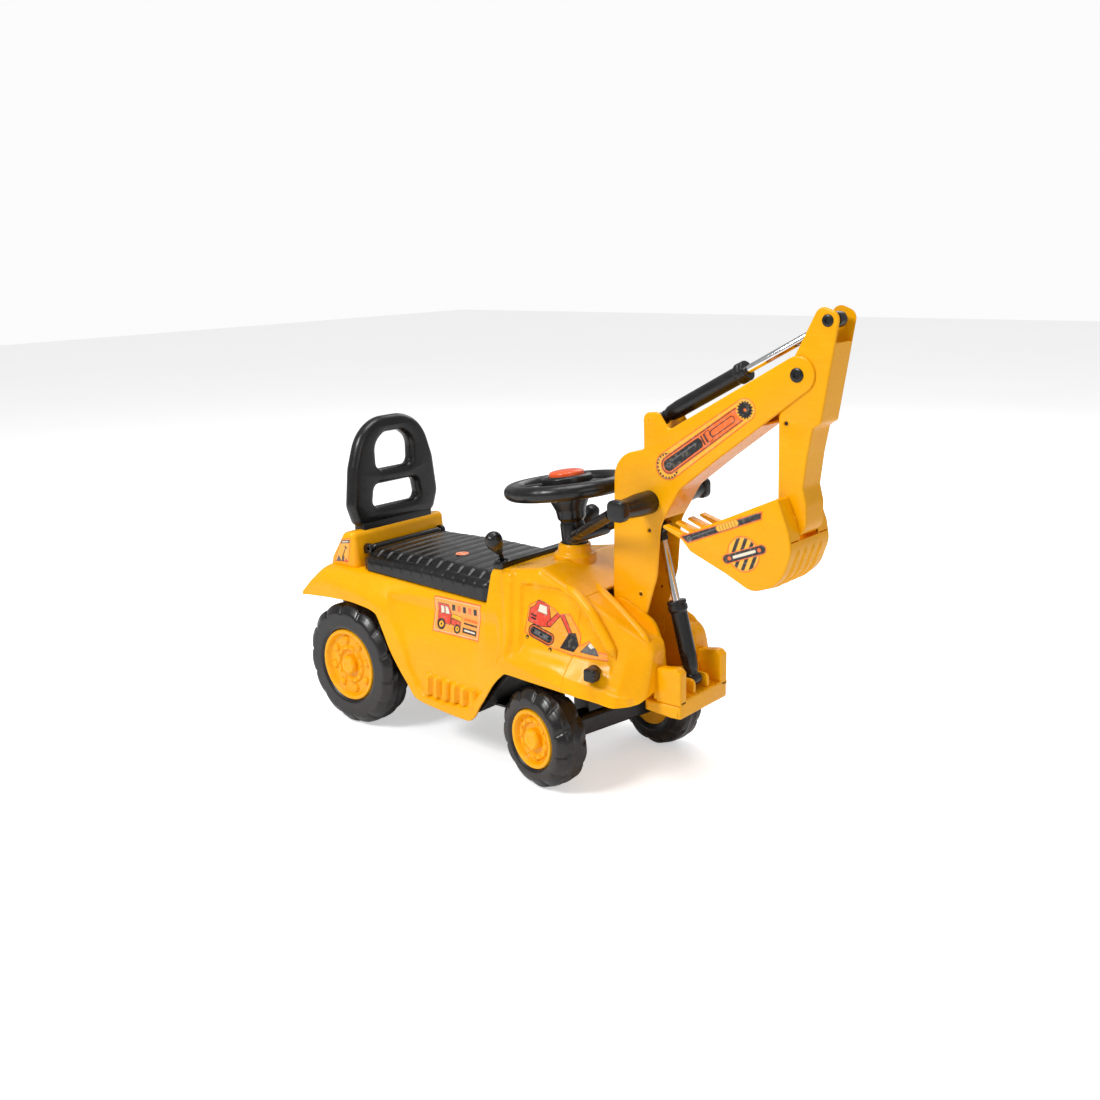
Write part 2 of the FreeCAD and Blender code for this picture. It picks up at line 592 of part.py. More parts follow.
# ---- everything ---------------------------------------------------------------------------------
def build():
    """All nodes by name, in the working frame."""
    parts = {
        "body_shell": body_shell(), "storage_tub": storage_tub(), "chassis_tray": chassis_tray(),
        "boom_cradle": boom_cradle(), "nose_platform": nose_platform(), "nose_skirt": nose_skirt(),
        "backrest": backrest(), "lever_console": lever_console(), "rear_axle": rear_axle(),
        "seat_lid": seat_lid(),
        "seat_hinge_pin": cross_rod(SEAT_HINGE, SEAT_HINGE_R, -LID_LUG[1], LID_LUG[1]),
        "boom_foot_pin": pin(BOOM_FOOT, BOOM_FOOT_R, SLOT_HALF - 0.4),
        "ram_low_foot_pin": pin(RAM_LOW_FOOT, PIN_R, 17),
        "steering_wheel": steering_wheel(), "horn_button": horn_button(), "column_bell": column_bell(),
        "steering_shaft": steering_shaft(),
        "grip_bar": grip_bar(), "u_handle": u_handle(),
        "stick_pivot_pin": pin(STICK_PIVOT, STICK_PIVOT_R, BOOM_HALF, 1.5),
        "ram_low_top_pin": pin(RAM_LOW_TOP, PIN_R, BOOM_HALF),
        "ram_up_foot_pin": pin(RAM_UP_FOOT, PIN_R, BOOM_HALF),
        "ram_up_top_pin": pin(STICK_EAR, PIN_R, STICK_HALF, 1.5),
        "bucket_pin": pin(BUCKET_PIVOT, BUCKET_PIVOT_R, STICK_HALF + GAP + WALL),
        "bucket": bucket(),
    }
    for label, side in (("left", 1), ("right", -1)):
        parts[f"lever_stem_{label}"] = lever_stem(side)
        parts[f"lever_knob_{label}"] = lever_knob(side)
        parts[f"headlamp_{label}"] = headlamp(side)
        parts[f"grip_cap_{label}"] = grip_cap(side)
        parts[f"boom_{label}"] = boom_half(side)
        parts[f"stick_{label}"] = stick_half(side)
        rear = wheel_parts(REAR_R, REAR_HUB_R, (0, REAR_Y, REAR_R), side, 14)
        front = wheel_parts(FRONT_R, FRONT_HUB_R, (FRONT_AXLE_X, FRONT_Y, FRONT_R), side, 12)
        for piece, rear_shape, front_shape in zip(("tyre", "hub", "cap"), rear, front):
            parts[f"rear_{piece}_{label}"] = rear_shape
            parts[f"front_{piece}_{label}"] = turned_about_z(front_shape, STEER_REST, KINGPIN_X)
    parts["front_axle_beam"] = turned_about_z(front_axle_beam(), STEER_REST, KINGPIN_X)
    parts["front_axle_rod"] = turned_about_z(front_axle_rod(), STEER_REST, KINGPIN_X)
    parts["ram_low_barrel"], parts["ram_low_rod"] = ram(RAM_LOW_FOOT, RAM_LOW_TOP, 102)
    parts["ram_up_barrel"], parts["ram_up_rod"] = ram(RAM_UP_FOOT, RAM_UP_TOP, 136)
    return parts


def main():
    """Write every node's STEP file and print its size and volume."""
    os.makedirs("parts", exist_ok=True)
    for name, shape in build().items():
        shape = shape.copy()
        shape.translate(Vec(-BOX_CENTRE_X, 0, 0))
        bounds = shape.BoundBox
        sound = shape.isValid() and len(shape.Solids) == 1
        state = "" if sound else f" CHECK valid {shape.isValid()} solids {len(shape.Solids)}"
        print(f"{name:20s} x {bounds.XMin:7.1f} {bounds.XMax:7.1f} y {bounds.YMin:7.1f} {bounds.YMax:7.1f}"
              f" z {bounds.ZMin:6.1f} {bounds.ZMax:6.1f} cm3 {shape.Volume / 1000:7.1f}{state}")
        shape.exportStep(os.path.join("parts", name + ".step"))


main()
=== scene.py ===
"""Looks of the ride-on toy excavator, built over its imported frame.

Shapes are worked out in millimetres from the point on the ground under the rear axle's middle, +X
forward, +Y to the rider's left and +Z up, and `place` carries them into the frame in metres.
"""
import logging
import math
from dataclasses import dataclass
from enum import Enum

import bmesh
import bpy
import numpy as np
from mathutils import Matrix, Vector
from mathutils.geometry import tessellate_polygon


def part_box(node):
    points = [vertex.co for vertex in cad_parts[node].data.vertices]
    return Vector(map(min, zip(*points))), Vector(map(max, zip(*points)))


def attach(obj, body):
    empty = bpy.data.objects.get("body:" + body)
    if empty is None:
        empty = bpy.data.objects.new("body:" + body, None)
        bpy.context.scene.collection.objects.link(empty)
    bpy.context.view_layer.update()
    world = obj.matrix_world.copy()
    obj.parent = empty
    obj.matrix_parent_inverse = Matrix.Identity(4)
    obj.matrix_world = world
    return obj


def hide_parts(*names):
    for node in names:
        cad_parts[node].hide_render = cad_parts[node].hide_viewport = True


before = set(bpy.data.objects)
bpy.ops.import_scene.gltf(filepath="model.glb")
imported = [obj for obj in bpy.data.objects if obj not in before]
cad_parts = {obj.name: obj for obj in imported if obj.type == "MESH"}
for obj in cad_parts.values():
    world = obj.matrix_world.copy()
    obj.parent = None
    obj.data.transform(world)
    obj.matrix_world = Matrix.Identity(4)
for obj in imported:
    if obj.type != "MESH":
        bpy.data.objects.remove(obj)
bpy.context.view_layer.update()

LOG = logging.getLogger("toy_excavator")
AXLE_X = (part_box("rear_axle")[0][0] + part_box("rear_axle")[1][0]) / 2
Points = np.ndarray


# ---- placing and curves ---------------------------------------------------------------------------
def place(points: Points) -> Points:
    """Carry points from the maker's millimetres into the frame.

    Args:
        points: array whose last axis is x, y, z in millimetres from the rear axle's ground point.

    Returns:
        The same points in metres in the frame.
    """
    moved = np.asarray(points, dtype=float) * 0.001
    moved[..., 0] += AXLE_X
    return moved


def smoothstep(low: float, high: float, value: Points) -> Points:
    """Ease from 0 at low to 1 at high: 3t^2 - 2t^3 of the clamped share t."""
    share = np.clip((value - low) / (high - low), 0.0, 1.0)
    return share * share * (3.0 - 2.0 * share)


def rounded_outline(corners: list[tuple[float, ...]], step: float = 9.0) -> Points:
    """Closed outline with each corner replaced by an arc tangent to its two sides.

    Args:
        corners: (a, b) or (a, b, radius) in order round the outline.
        step: greatest turn between arc points, degrees.

    Returns:
        Array of (a, b) points.
    """
    spots = np.array([corner[:2] for corner in corners], dtype=float)
    rows = []
    for i, corner in enumerate(corners):
        back = spots[i - 1] - spots[i]
        ahead = spots[(i + 1) % len(spots)] - spots[i]
        back, ahead = back / np.linalg.norm(back), ahead / np.linalg.norm(ahead)
        half = math.acos(float(np.clip(back @ ahead, -1.0, 1.0))) / 2
        radius = corner[2] if len(corner) > 2 else 0.0
        if radius <= 0.0 or half > 1.56:
            rows.append(spots[i][None, :])
            continue
        middle_way = (back + ahead) / np.linalg.norm(back + ahead)
        centre = spots[i] + middle_way * radius / math.sin(half)
        start = spots[i] + back * radius / math.tan(half) - centre
        end = spots[i] + ahead * radius / math.tan(half) - centre
        first, last = math.atan2(start[1], start[0]), math.atan2(end[1], end[0])
        sweep = (last - first + math.pi) % (2 * math.pi) - math.pi
        turns = first + sweep * np.linspace(0.0, 1.0, max(2, int(abs(math.degrees(sweep)) / step) + 2))
        rows.append(centre + radius * np.stack([np.cos(turns), np.sin(turns)], axis=-1))
    return np.concatenate(rows)


def anticlockwise(outline: Points) -> Points:
    """The outline with its points in anticlockwise order."""
    following = np.roll(outline, -1, axis=0)
    area = np.sum(outline[:, 0] * following[:, 1] - following[:, 0] * outline[:, 1])
    return outline if area > 0 else outline[::-1]


def drawn_in(outline: Points, inset: float) -> Points:
    """Move an anticlockwise outline inwards by mitring each point between its two sides' normals.

    Args:
        outline: closed (n, 2) outline.
        inset: distance inwards; negative grows it.

    Returns:
        The moved outline, point for point.
    """
    along = np.roll(outline, -1, axis=0) - outline
    along /= np.maximum(np.linalg.norm(along, axis=1, keepdims=True), 1e-9)
    inward = np.stack([-along[:, 1], along[:, 0]], axis=-1)
    before = np.roll(inward, 1, axis=0)
    total = inward + before
    share = np.maximum(1.0 + np.sum(inward * before, axis=1, keepdims=True), 0.35)
    return outline + inset * total / share


def resampled(path: Points, spacing: float) -> Points:
    """Evenly spaced points along an open polyline."""
    steps = np.linalg.norm(np.diff(path, axis=0), axis=1)
    length = np.concatenate([[0.0], np.cumsum(steps)])
    wanted = np.linspace(0.0, length[-1], max(2, int(length[-1] / spacing) + 1))
    return np.stack([np.interp(wanted, length, path[:, k]) for k in range(path.shape[1])], axis=-1)


# ---- meshes ---------------------------------------------------------------------------------------
class Draft:
    """Grids, fans and flat faces in millimetres, welded into one mesh when built."""

    def __init__(self, name: str) -> None:
        """Start an empty draft."""
        self.name = name
        self.points: list[Points] = []
        self.quads: list[Points] = []
        self.triangles: list[Points] = []
        self.count = 0

    def add(self, points: Points) -> int:
        """Keep points and return the number of the first."""
        flat = np.asarray(points, dtype=float).reshape(-1, 3)
        self.points.append(flat)
        self.count += len(flat)
        return self.count - len(flat)

    def grid(self, points: Points, round_u: bool = False, round_v: bool = False) -> "Draft":
        """Add a surface of quads over an (nu, nv, 3) grid, joined to itself where asked."""
        first = self.add(points)
        index = np.arange(points.shape[0] * points.shape[1]).reshape(points.shape[:2]) + first
        if round_u:
            index = np.concatenate([index, index[:1]], axis=0)
        if round_v:
            index = np.concatenate([index, index[:, :1]], axis=1)
        quads = np.stack([index[:-1, :-1], index[1:, :-1], index[1:, 1:], index[:-1, 1:]], axis=-1)
        self.quads.append(quads.reshape(-1, 4))
        return self

    def fan(self, ring: Points, centre: Points) -> "Draft":
        """Close a ring of points with triangles to one centre point."""
        first = self.add(np.concatenate([ring, np.asarray(centre, dtype=float)[None, :]]))
        around = np.arange(len(ring)) + first
        hub = np.full(len(ring), first + len(ring))
        self.triangles.append(np.stack([around, np.roll(around, -1), hub], axis=-1))
        return self

    def flat(self, loops: list[Points]) -> "Draft":
        """Fill a flat outline, with any holes, by triangles."""
        first = self.add(np.concatenate(loops))
        filled = tessellate_polygon([[Vector(spot) for spot in loop] for loop in loops])
        if filled:
            self.triangles.append(np.array(filled) + first)
        return self

    def build(self, sharp: float = 38.0, outward: bool = True) -> bpy.types.Object:
        """Weld equal points, drop empty faces and make the Blender object.

        Args:
            sharp: angle in degrees past which an edge is shaded sharp.
            outward: turn the faces of closed parts outwards.

        Returns:
            The new object, at the origin, with its place in its mesh.
        """
        points = np.concatenate(self.points)
        keys, index = np.unique(np.round(points, 3), axis=0, return_inverse=True)
        index = index.reshape(-1)
        welded = np.zeros_like(keys)
        welded[index] = points
        faces: list[list[int]] = []
        if self.quads:
            quads = index[np.concatenate(self.quads)]
            following = np.roll(quads, -1, axis=1)
            same = quads == following
            faces += quads[~same.any(axis=1)].tolist()
            pinched = quads[same.sum(axis=1) == 1]
            kept = ~(same[same.sum(axis=1) == 1])
            faces += pinched[kept].reshape(-1, 3).tolist()
        if self.triangles:
            triangles = index[np.concatenate(self.triangles)]
            whole = (triangles != np.roll(triangles, -1, axis=1)).all(axis=1)
            faces += triangles[whole].tolist()
        mesh = bpy.data.meshes.new(self.name)
        mesh.from_pydata(place(welded).tolist(), [], faces)
        mesh.validate()
        if outward:
            work = bmesh.new()
            work.from_mesh(mesh)
            bmesh.ops.recalc_face_normals(work, faces=work.faces)
            work.to_mesh(mesh)
            work.free()
        mesh.shade_smooth()
        mesh.set_sharp_from_angle(angle=math.radians(sharp))
        piece = bpy.data.objects.new(self.name, mesh)
        bpy.context.scene.collection.objects.link(piece)
        return piece

    def slab(self, outline: Points, low: float, high: float, low_edge: float = 0.0, high_edge: float = 0.0,
             holes: tuple[Points, ...] = ()) -> "Draft":
        """Add a plate: an outline in XZ pushed along Y, with rounded edges.

        Each ring is the outline drawn in by r(1 - cos a) at a depth of r(1 - sin a) below its face.

        Args:
            outline: (n, 2) outline in x, z.
            low: y of one face.
            high: y of the other face.
            low_edge: rounding radius of the low face's edges.
            high_edge: rounding radius of the high face's edges.
            holes: outlines of holes right through.

        Returns:
            This draft.
        """
        caps: dict[float, list[Points]] = {low: [], high: []}
        for loop, side in [(anticlockwise(outline), 1.0)] + [(anticlockwise(hole), -1.0) for hole in holes]:
            rings = []
            for face, edge, way in ((low, low_edge, 1.0), (high, high_edge, -1.0)):
                bends = np.linspace(0.0, math.pi / 2, 5) if edge > 0 else np.zeros(1)
                stack = [(side * edge * (1 - math.cos(a)),
                          face + way * edge * (1 - math.sin(a))) for a in bends]
                rings += stack[::-1] if face == low else stack
            grid = np.stack([np.insert(drawn_in(loop, inset), 1, y, axis=1) for inset, y in rings])
            self.grid(grid, round_v=True)
            caps[low].append(grid[0])
            caps[high].append(grid[-1])
        for loops in caps.values():
            self.flat(loops)
        return self

    def sweep(self, path: Points, radius: Points | float, sides: int = 24, capped: bool = True) -> "Draft":
        """Add a round bar: circles square to the path's direction, each of its own radius.

        Args:
            path: (n, 3) centre line.
            radius: one radius, or one for each path point.
            sides: points round each circle.
            capped: close both ends.

        Returns:
            This draft.
        """
        along = np.gradient(path, axis=0)
        along /= np.linalg.norm(along, axis=1, keepdims=True)
        helper = np.array([0.0, 1.0, 0.0]) if abs(along[0][1]) < 0.9 else np.array([1.0, 0.0, 0.0])
        across = np.cross(along, helper)
        across /= np.linalg.norm(across, axis=1, keepdims=True)
        third = np.cross(along, across)
        turns = np.linspace(0.0, 2 * math.pi, sides, endpoint=False)
        size = np.broadcast_to(np.asarray(radius, dtype=float), (len(path),))[:, None, None]
        circle = np.cos(turns)[None, :, None] * across[:, None, :] + np.sin(turns)[None, :,
                                                                                   None] * third[:, None, :]
        grid = path[:, None, :] + size * circle
        self.grid(grid, round_v=True)
        if capped:
            self.fan(grid[0], path[0])
            self.fan(grid[-1], path[-1])
        return self

    def lathe(self, profile: Points, base: Points, axis: Points, sides: int = 64,
              swell: Points | None = None) -> "Draft":
        """Add a turned shape: each (radius, height) of the profile goes round the axis through base.

        Args:
            profile: (n, 2) radii and heights.
            base: point on the axis at height 0.
            axis: direction of growing height.
            sides: points round the axis.
            swell: optional (n, sides) amounts added to the radii.

        Returns:
            This draft.
        """
        up = np.asarray(axis, dtype=float) / np.linalg.norm(axis)
        helper = np.array([0.0, 0.0, 1.0]) if abs(up[2]) < 0.9 else np.array([1.0, 0.0, 0.0])
        across = np.cross(helper, up)
        across /= np.linalg.norm(across)
        third = np.cross(up, across)
        turns = np.linspace(0.0, 2 * math.pi, sides, endpoint=False)
        circle = np.cos(turns)[:, None] * across + np.sin(turns)[:, None] * third
        radii = profile[:, 0][:, None] + (0.0 if swell is None else swell)
        radii = np.broadcast_to(radii, (len(profile), sides))
        grid = np.asarray(base, dtype=float) + radii[..., None] * circle[None] + profile[:, 1][:, None,
                                                                                               None] * up
        return self.grid(grid, round_v=True)


def circle_outline(x: float, z: float, radius: float, sides: int = 32) -> Points:
    """Round outline in x, z."""
    turns = np.linspace(0.0, 2 * math.pi, sides, endpoint=False)
    return np.stack([x + radius * np.cos(turns), z + radius * np.sin(turns)], axis=-1)


def mirrored(points: Points) -> Points:
    """The points on the other side of the middle plane."""
    return np.asarray(points) * np.array([1.0, -1.0, 1.0])


def along_stations(x: Points, stations: Points, values: Points) -> Points:
    """Smooth curve through stations: cubic Hermite pieces whose slopes are the harmonic mean of the
    two chords, or nothing where the chords change sign, so that it never overshoots.

    Args:
        x: places wanted.
        stations: rising station places.
        values: (stations, ...) values.

    Returns:
        Values at x, shaped (len(x), ...).
    """
    gap = np.diff(stations).reshape((-1,) + (1,) * (values.ndim - 1))
    chord = np.diff(values, axis=0) / gap
    product = chord[:-1] * chord[1:]
    total = chord[:-1] + chord[1:]
    inner = np.where(product > 0, 2 * product / np.where(np.abs(total) > 1e-9, total, 1.0), 0.0)
    slopes = np.concatenate([chord[:1], inner, chord[-1:]])
    cell = np.clip(np.searchsorted(stations, x, side="right") - 1, 0, len(stations) - 2)
    width = gap[cell]
    t = ((x - stations[cell]) / np.diff(stations)[cell]).reshape(width.shape)
    first, last = values[cell], values[cell + 1]
    bend = (2 * t**3 - 3 * t**2 + 1) * first + (t**3 - 2 * t**2 + t) * width * slopes[cell]
    return bend + (3 * t**2 - 2 * t**3) * last + (t**3 - t**2) * width * slopes[cell + 1]


def rounded_sections(nodes: Points, reach: tuple[float, ...], counts: list[int], bend: int = 7) -> Points:
    """Carry a rounded polyline through every section at once.

    Each corner is a quadratic Bezier, (1-q)^2 a + 2q(1-q) p + q^2 b, whose ends lie `reach` from it.

    Args:
        nodes: (sections, corners, 2) polyline corners.
        reach: how far each corner's rounding goes, mm.
        counts: points on each straight run.
        bend: points on each rounding.

    Returns:
        (sections, points, 2) curves.
    """
    rows, at = [], nodes[:, 0]
    for k in range(1, nodes.shape[1] - 1):
        back, ahead = nodes[:, k - 1] - nodes[:, k], nodes[:, k + 1] - nodes[:, k]
        back_size = np.linalg.norm(back, axis=1, keepdims=True)
        ahead_size = np.linalg.norm(ahead, axis=1, keepdims=True)
        start = nodes[:, k] + back * np.minimum(reach[k] / back_size, 0.48)
        end = nodes[:, k] + ahead * np.minimum(reach[k] / ahead_size, 0.48)
        share = np.linspace(0.0, 1.0, counts[k - 1], endpoint=False)[None, :, None]
        rows.append(at[:, None] + (start - at)[:, None] * share)
        if reach[k] > 0:
            q = np.linspace(0.0, 1.0, bend, endpoint=False)[None, :, None]
            corner = nodes[:, k][:, None]
            rows.append((1 - q) ** 2 * start[:, None] + 2 * q * (1 - q) * corner + q**2 * end[:, None])
        at = end
    share = np.linspace(0.0, 1.0, counts[-1])[None, :, None]
    rows.append(at[:, None] + (nodes[:, -1] - at)[:, None] * share)
    return np.concatenate(rows, axis=1)


def polygon_distance(a: Points, b: Points, corners: list[tuple[float, float]]) -> Points:
    """Signed distance from points (a, b) to a polygon, negative inside: the least distance to any
    side, with its sign from how often a level ray crosses the sides."""
    least = np.full(np.shape(a), 1e9)
    inside = np.zeros(np.shape(a), dtype=bool)
    for (a0, b0), (a1, b1) in zip(corners, corners[1:] + corners[:1]):
        side_a, side_b = a1 - a0, b1 - b0
        share = np.clip(((a - a0) * side_a + (b - b0) * side_b) / (side_a**2 + side_b**2), 0.0, 1.0)
        least = np.minimum(least, np.hypot(a - a0 - share * side_a, b - b0 - share * side_b))
        crosses = (b0 > b) != (b1 > b)
        height = b1 - b0 if b1 != b0 else 1e-9
        inside ^= crosses & (a < a0 + (b - b0) * side_a / height)
    return np.where(inside, -least, least)


def capsule_distance(a: Points, b: Points, start: tuple[float, float], end: tuple[float, float],
                     radius: float, end_radius: float | None = None) -> Points:
    """Signed distance to a line from start to end of a given half width, which may taper."""
    side_a, side_b = end[0] - start[0], end[1] - start[1]
    share = np.clip(((a - start[0]) * side_a + (b - start[1]) * side_b) / (side_a**2 + side_b**2), 0.0, 1.0)
    size = radius + ((radius if end_radius is None else end_radius) - radius) * share
    return np.hypot(a - start[0] - share * side_a, b - start[1] - share * side_b) - size


# ---- finishes -------------------------------------------------------------------------------------
class NodeSketch:
    """Short words for building one material's nodes."""

    def __init__(self, name: str) -> None:
        """Start a material with its shader and Object coordinates."""
        self.material = bpy.data.materials.new(name)
        self.material.use_nodes = True
        self.tree = self.material.node_tree
        self.shader = self.tree.nodes["Principled BSDF"]
        self.place = self.tree.nodes.new("ShaderNodeTexCoord").outputs["Object"]

    def noise(self, scale: float, detail: float = 3.0, stretch: tuple[float, float, float] = (1, 1, 1)):
        """Noise on Object coordinates, stretched by a Mapping node."""
        mapping = self.tree.nodes.new("ShaderNodeMapping")
        mapping.inputs["Scale"].default_value = stretch
        self.tree.links.new(self.place, mapping.inputs["Vector"])
        noise = self.tree.nodes.new("ShaderNodeTexNoise")
        noise.inputs["Scale"].default_value = scale
        noise.inputs["Detail"].default_value = detail
        self.tree.links.new(mapping.outputs["Vector"], noise.inputs["Vector"])
        return noise.outputs["Fac"]

    def spread(self, value, low: float, high: float, start: float = 0.3, end: float = 0.7):
        """Carry a value from start..end to low..high."""
        node = self.tree.nodes.new("ShaderNodeMapRange")
        for key, number in (("From Min", start), ("From Max", end), ("To Min", low), ("To Max", high)):
            node.inputs[key].default_value = number
        self.tree.links.new(value, node.inputs["Value"])
        return node.outputs["Result"]

    def mix(self, share, first, second):
        """Mix two colours, each an RGB tuple or a socket."""
        node = self.tree.nodes.new("ShaderNodeMix")
        node.data_type = "RGBA"
        self.tree.links.new(share, node.inputs[0])
        for socket, colour in ((node.inputs[6], first), (node.inputs[7], second)):
            if isinstance(colour, tuple):
                socket.default_value = (*colour, 1.0)
            else:
                self.tree.links.new(colour, socket)
        return node.outputs[2]

    def bump(self, height, strength: float, distance: float, under=None):
        """Bump from a height, on top of another bump when given."""
        node = self.tree.nodes.new("ShaderNodeBump")
        node.inputs["Strength"].default_value = strength
        node.inputs["Distance"].default_value = distance
        self.tree.links.new(height, node.inputs["Height"])
        if under is not None:
            self.tree.links.new(under, node.inputs["Normal"])
        return node.outputs["Normal"]

    def feed(self, **sockets) -> None:
        """Set or link the shader's sockets, named with _ for spaces."""
        for key, value in sockets.items():
            socket = self.shader.inputs[key.replace("_", " ")]
            if isinstance(value, bpy.types.NodeSocket):
                self.tree.links.new(value, socket)
            else:
                socket.default_value = value


@dataclass(frozen=True)
class MouldedPlastic:
    """Injection-moulded plastic: faint flow mottling, rubbed scuffs and a fine skin."""

    name: str
    colour: tuple[float, float, float]
    shaded: tuple[float, float, float]
    worn: tuple[float, float, float]
    roughness: float = 0.3
    coat: float = 0.25
    skin: float = 0.12
    scuff: float = 0.35
    shine: float = 0.45

    def make(self) -> bpy.types.Material:
        """Build the material."""
        sketch = NodeSketch(self.name)
        flow = sketch.spread(sketch.noise(9.0, 4.0, (1.0, 1.0, 1.8)), 0.0, 1.0)
        scuffs = sketch.spread(sketch.noise(160.0, 5.0, (0.25, 1.0, 1.6)), 0.0, self.scuff, 0.56, 0.74)
        colour = sketch.mix(scuffs, sketch.mix(flow, self.shaded, self.colour), self.worn)
        rough = sketch.spread(sketch.noise(34.0, 5.0), self.roughness * 0.8, self.roughness * 1.3)
        fine = sketch.bump(sketch.noise(900.0, 2.0), self.skin, 0.00025)
        wavy = sketch.bump(sketch.noise(22.0, 2.0), 0.22, 0.0009, fine)
        sketch.feed(Base_Color=colour, Roughness=rough, Normal=wavy, Coat_Weight=self.coat,
                    Coat_Roughness=0.12, IOR=1.5, Specular_IOR_Level=self.shine)
        return sketch.material


@dataclass(frozen=True)
class PlatedMetal:
    """Plated or drawn steel with fine lines along its length and light smears."""

    name: str
    colour: tuple[float, float, float]
    dull: tuple[float, float, float]
    roughness: float
    grain: tuple[float, float, float] = (1.0, 1.0, 1.0)

    def make(self) -> bpy.types.Material:
        """Build the material."""
        sketch = NodeSketch(self.name)
        smear = sketch.spread(sketch.noise(60.0, 4.0), 0.0, 1.0)
        lines = sketch.noise(500.0, 3.0, self.grain)
        sketch.feed(Base_Color=sketch.mix(smear, self.colour, self.dull), Metallic=1.0,
                    Roughness=sketch.spread(lines, self.roughness * 0.7, self.roughness * 1.5),
                    Normal=sketch.bump(lines, 0.12, 0.0002))
        return sketch.material


@dataclass(frozen=True)
class PrintedFilm:
    """Glossy printed sticker whose colours are on its mesh, with dust and a slight ripple."""

    name: str

    def make(self) -> bpy.types.Material:
        """Build the material."""
        sketch = NodeSketch(self.name)
        ink = sketch.tree.nodes.new("ShaderNodeAttribute")
        ink.attribute_name = "ink"
        dust = sketch.spread(sketch.noise(220.0, 5.0), 0.0, 0.2, 0.5, 0.8)
        sketch.feed(Base_Color=sketch.mix(dust, ink.outputs["Color"], (0.86, 0.74, 0.55)),
                    Roughness=sketch.spread(sketch.noise(40.0), 0.22, 0.38), Coat_Weight=0.2,
                    Normal=sketch.bump(sketch.noise(70.0), 0.15, 0.0003))
        return sketch.material


class Finish(Enum):
    """The finishes of this toy, each with the record's material slot."""

    YELLOW = "yellow_plastic"
    BLACK = "black_plastic"
    TYRE = "tyre_plastic"
    STEEL = "steel"
    CHROME = "chrome_rod"
    ORANGE = "orange_plastic"
    FILM = "printed_film"


RECIPES = {
    Finish.YELLOW: MouldedPlastic("warm_yellow_plastic", (0.95, 0.435, 0.001), (0.88, 0.375, 0.0006),
                                  (1.0, 0.52, 0.02),
                                  roughness=0.25, coat=0.05, shine=0.22),
    Finish.BLACK: MouldedPlastic("black_plastic", (0.006, 0.0055, 0.0058), (0.003, 0.003, 0.0033),
                                 (0.028, 0.026, 0.025),
                                 roughness=0.3, coat=0.1),
    Finish.TYRE: MouldedPlastic("tyre_plastic", (0.0085, 0.0064, 0.006), (0.0045, 0.0036, 0.0036),
                                (0.04, 0.032, 0.028),
                                roughness=0.31, coat=0.15, skin=0.2),
    Finish.STEEL: PlatedMetal("bright_steel", (0.62, 0.61, 0.6), (0.42, 0.41, 0.4), 0.32, (0.1, 1.0, 1.0)),
    Finish.CHROME: PlatedMetal("chrome_rod", (0.86, 0.87, 0.88), (0.7, 0.71, 0.72), 0.1, (1.0, 0.2, 0.2)),
    Finish.ORANGE: MouldedPlastic("orange_plastic", (0.95, 0.12, 0.012), (0.8, 0.085, 0.008),
                                  (1.0, 0.3, 0.1)),
    Finish.FILM: PrintedFilm("printed_film"),
}
MATERIALS: dict[Finish, bpy.types.Material] = {}


def finish_of(finish: Finish) -> bpy.types.Material:
    """The one material of a finish, made when first asked for."""
    if finish not in MATERIALS:
        MATERIALS[finish] = RECIPES[finish].make()
    return MATERIALS[finish]


def dress(piece: bpy.types.Object, body: str, finish: Finish, *nodes: str) -> bpy.types.Object:
    """Give a piece its finish, its body and the CAD nodes it stands for.

    Args:
        piece: the new object.
        body: the CAD body it rides on.
        finish: its finish.
        nodes: CAD nodes it replaces.

    Returns:
        The same object.
    """
    piece.data.materials.clear()
    piece.data.materials.append(finish_of(finish))
    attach(piece, body)
    if nodes:
        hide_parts(*nodes)
    LOG.info("%s on %s: %d faces", piece.name, body, len(piece.data.polygons))
    return piece


def thicken(piece: bpy.types.Object, wall: float) -> bpy.types.Object:
    """Give an open surface a wall on its inner side, in millimetres."""
    solid = piece.modifiers.new("wall", "SOLIDIFY")
    solid.thickness = wall * 0.001
    solid.offset = -1.0
    return piece


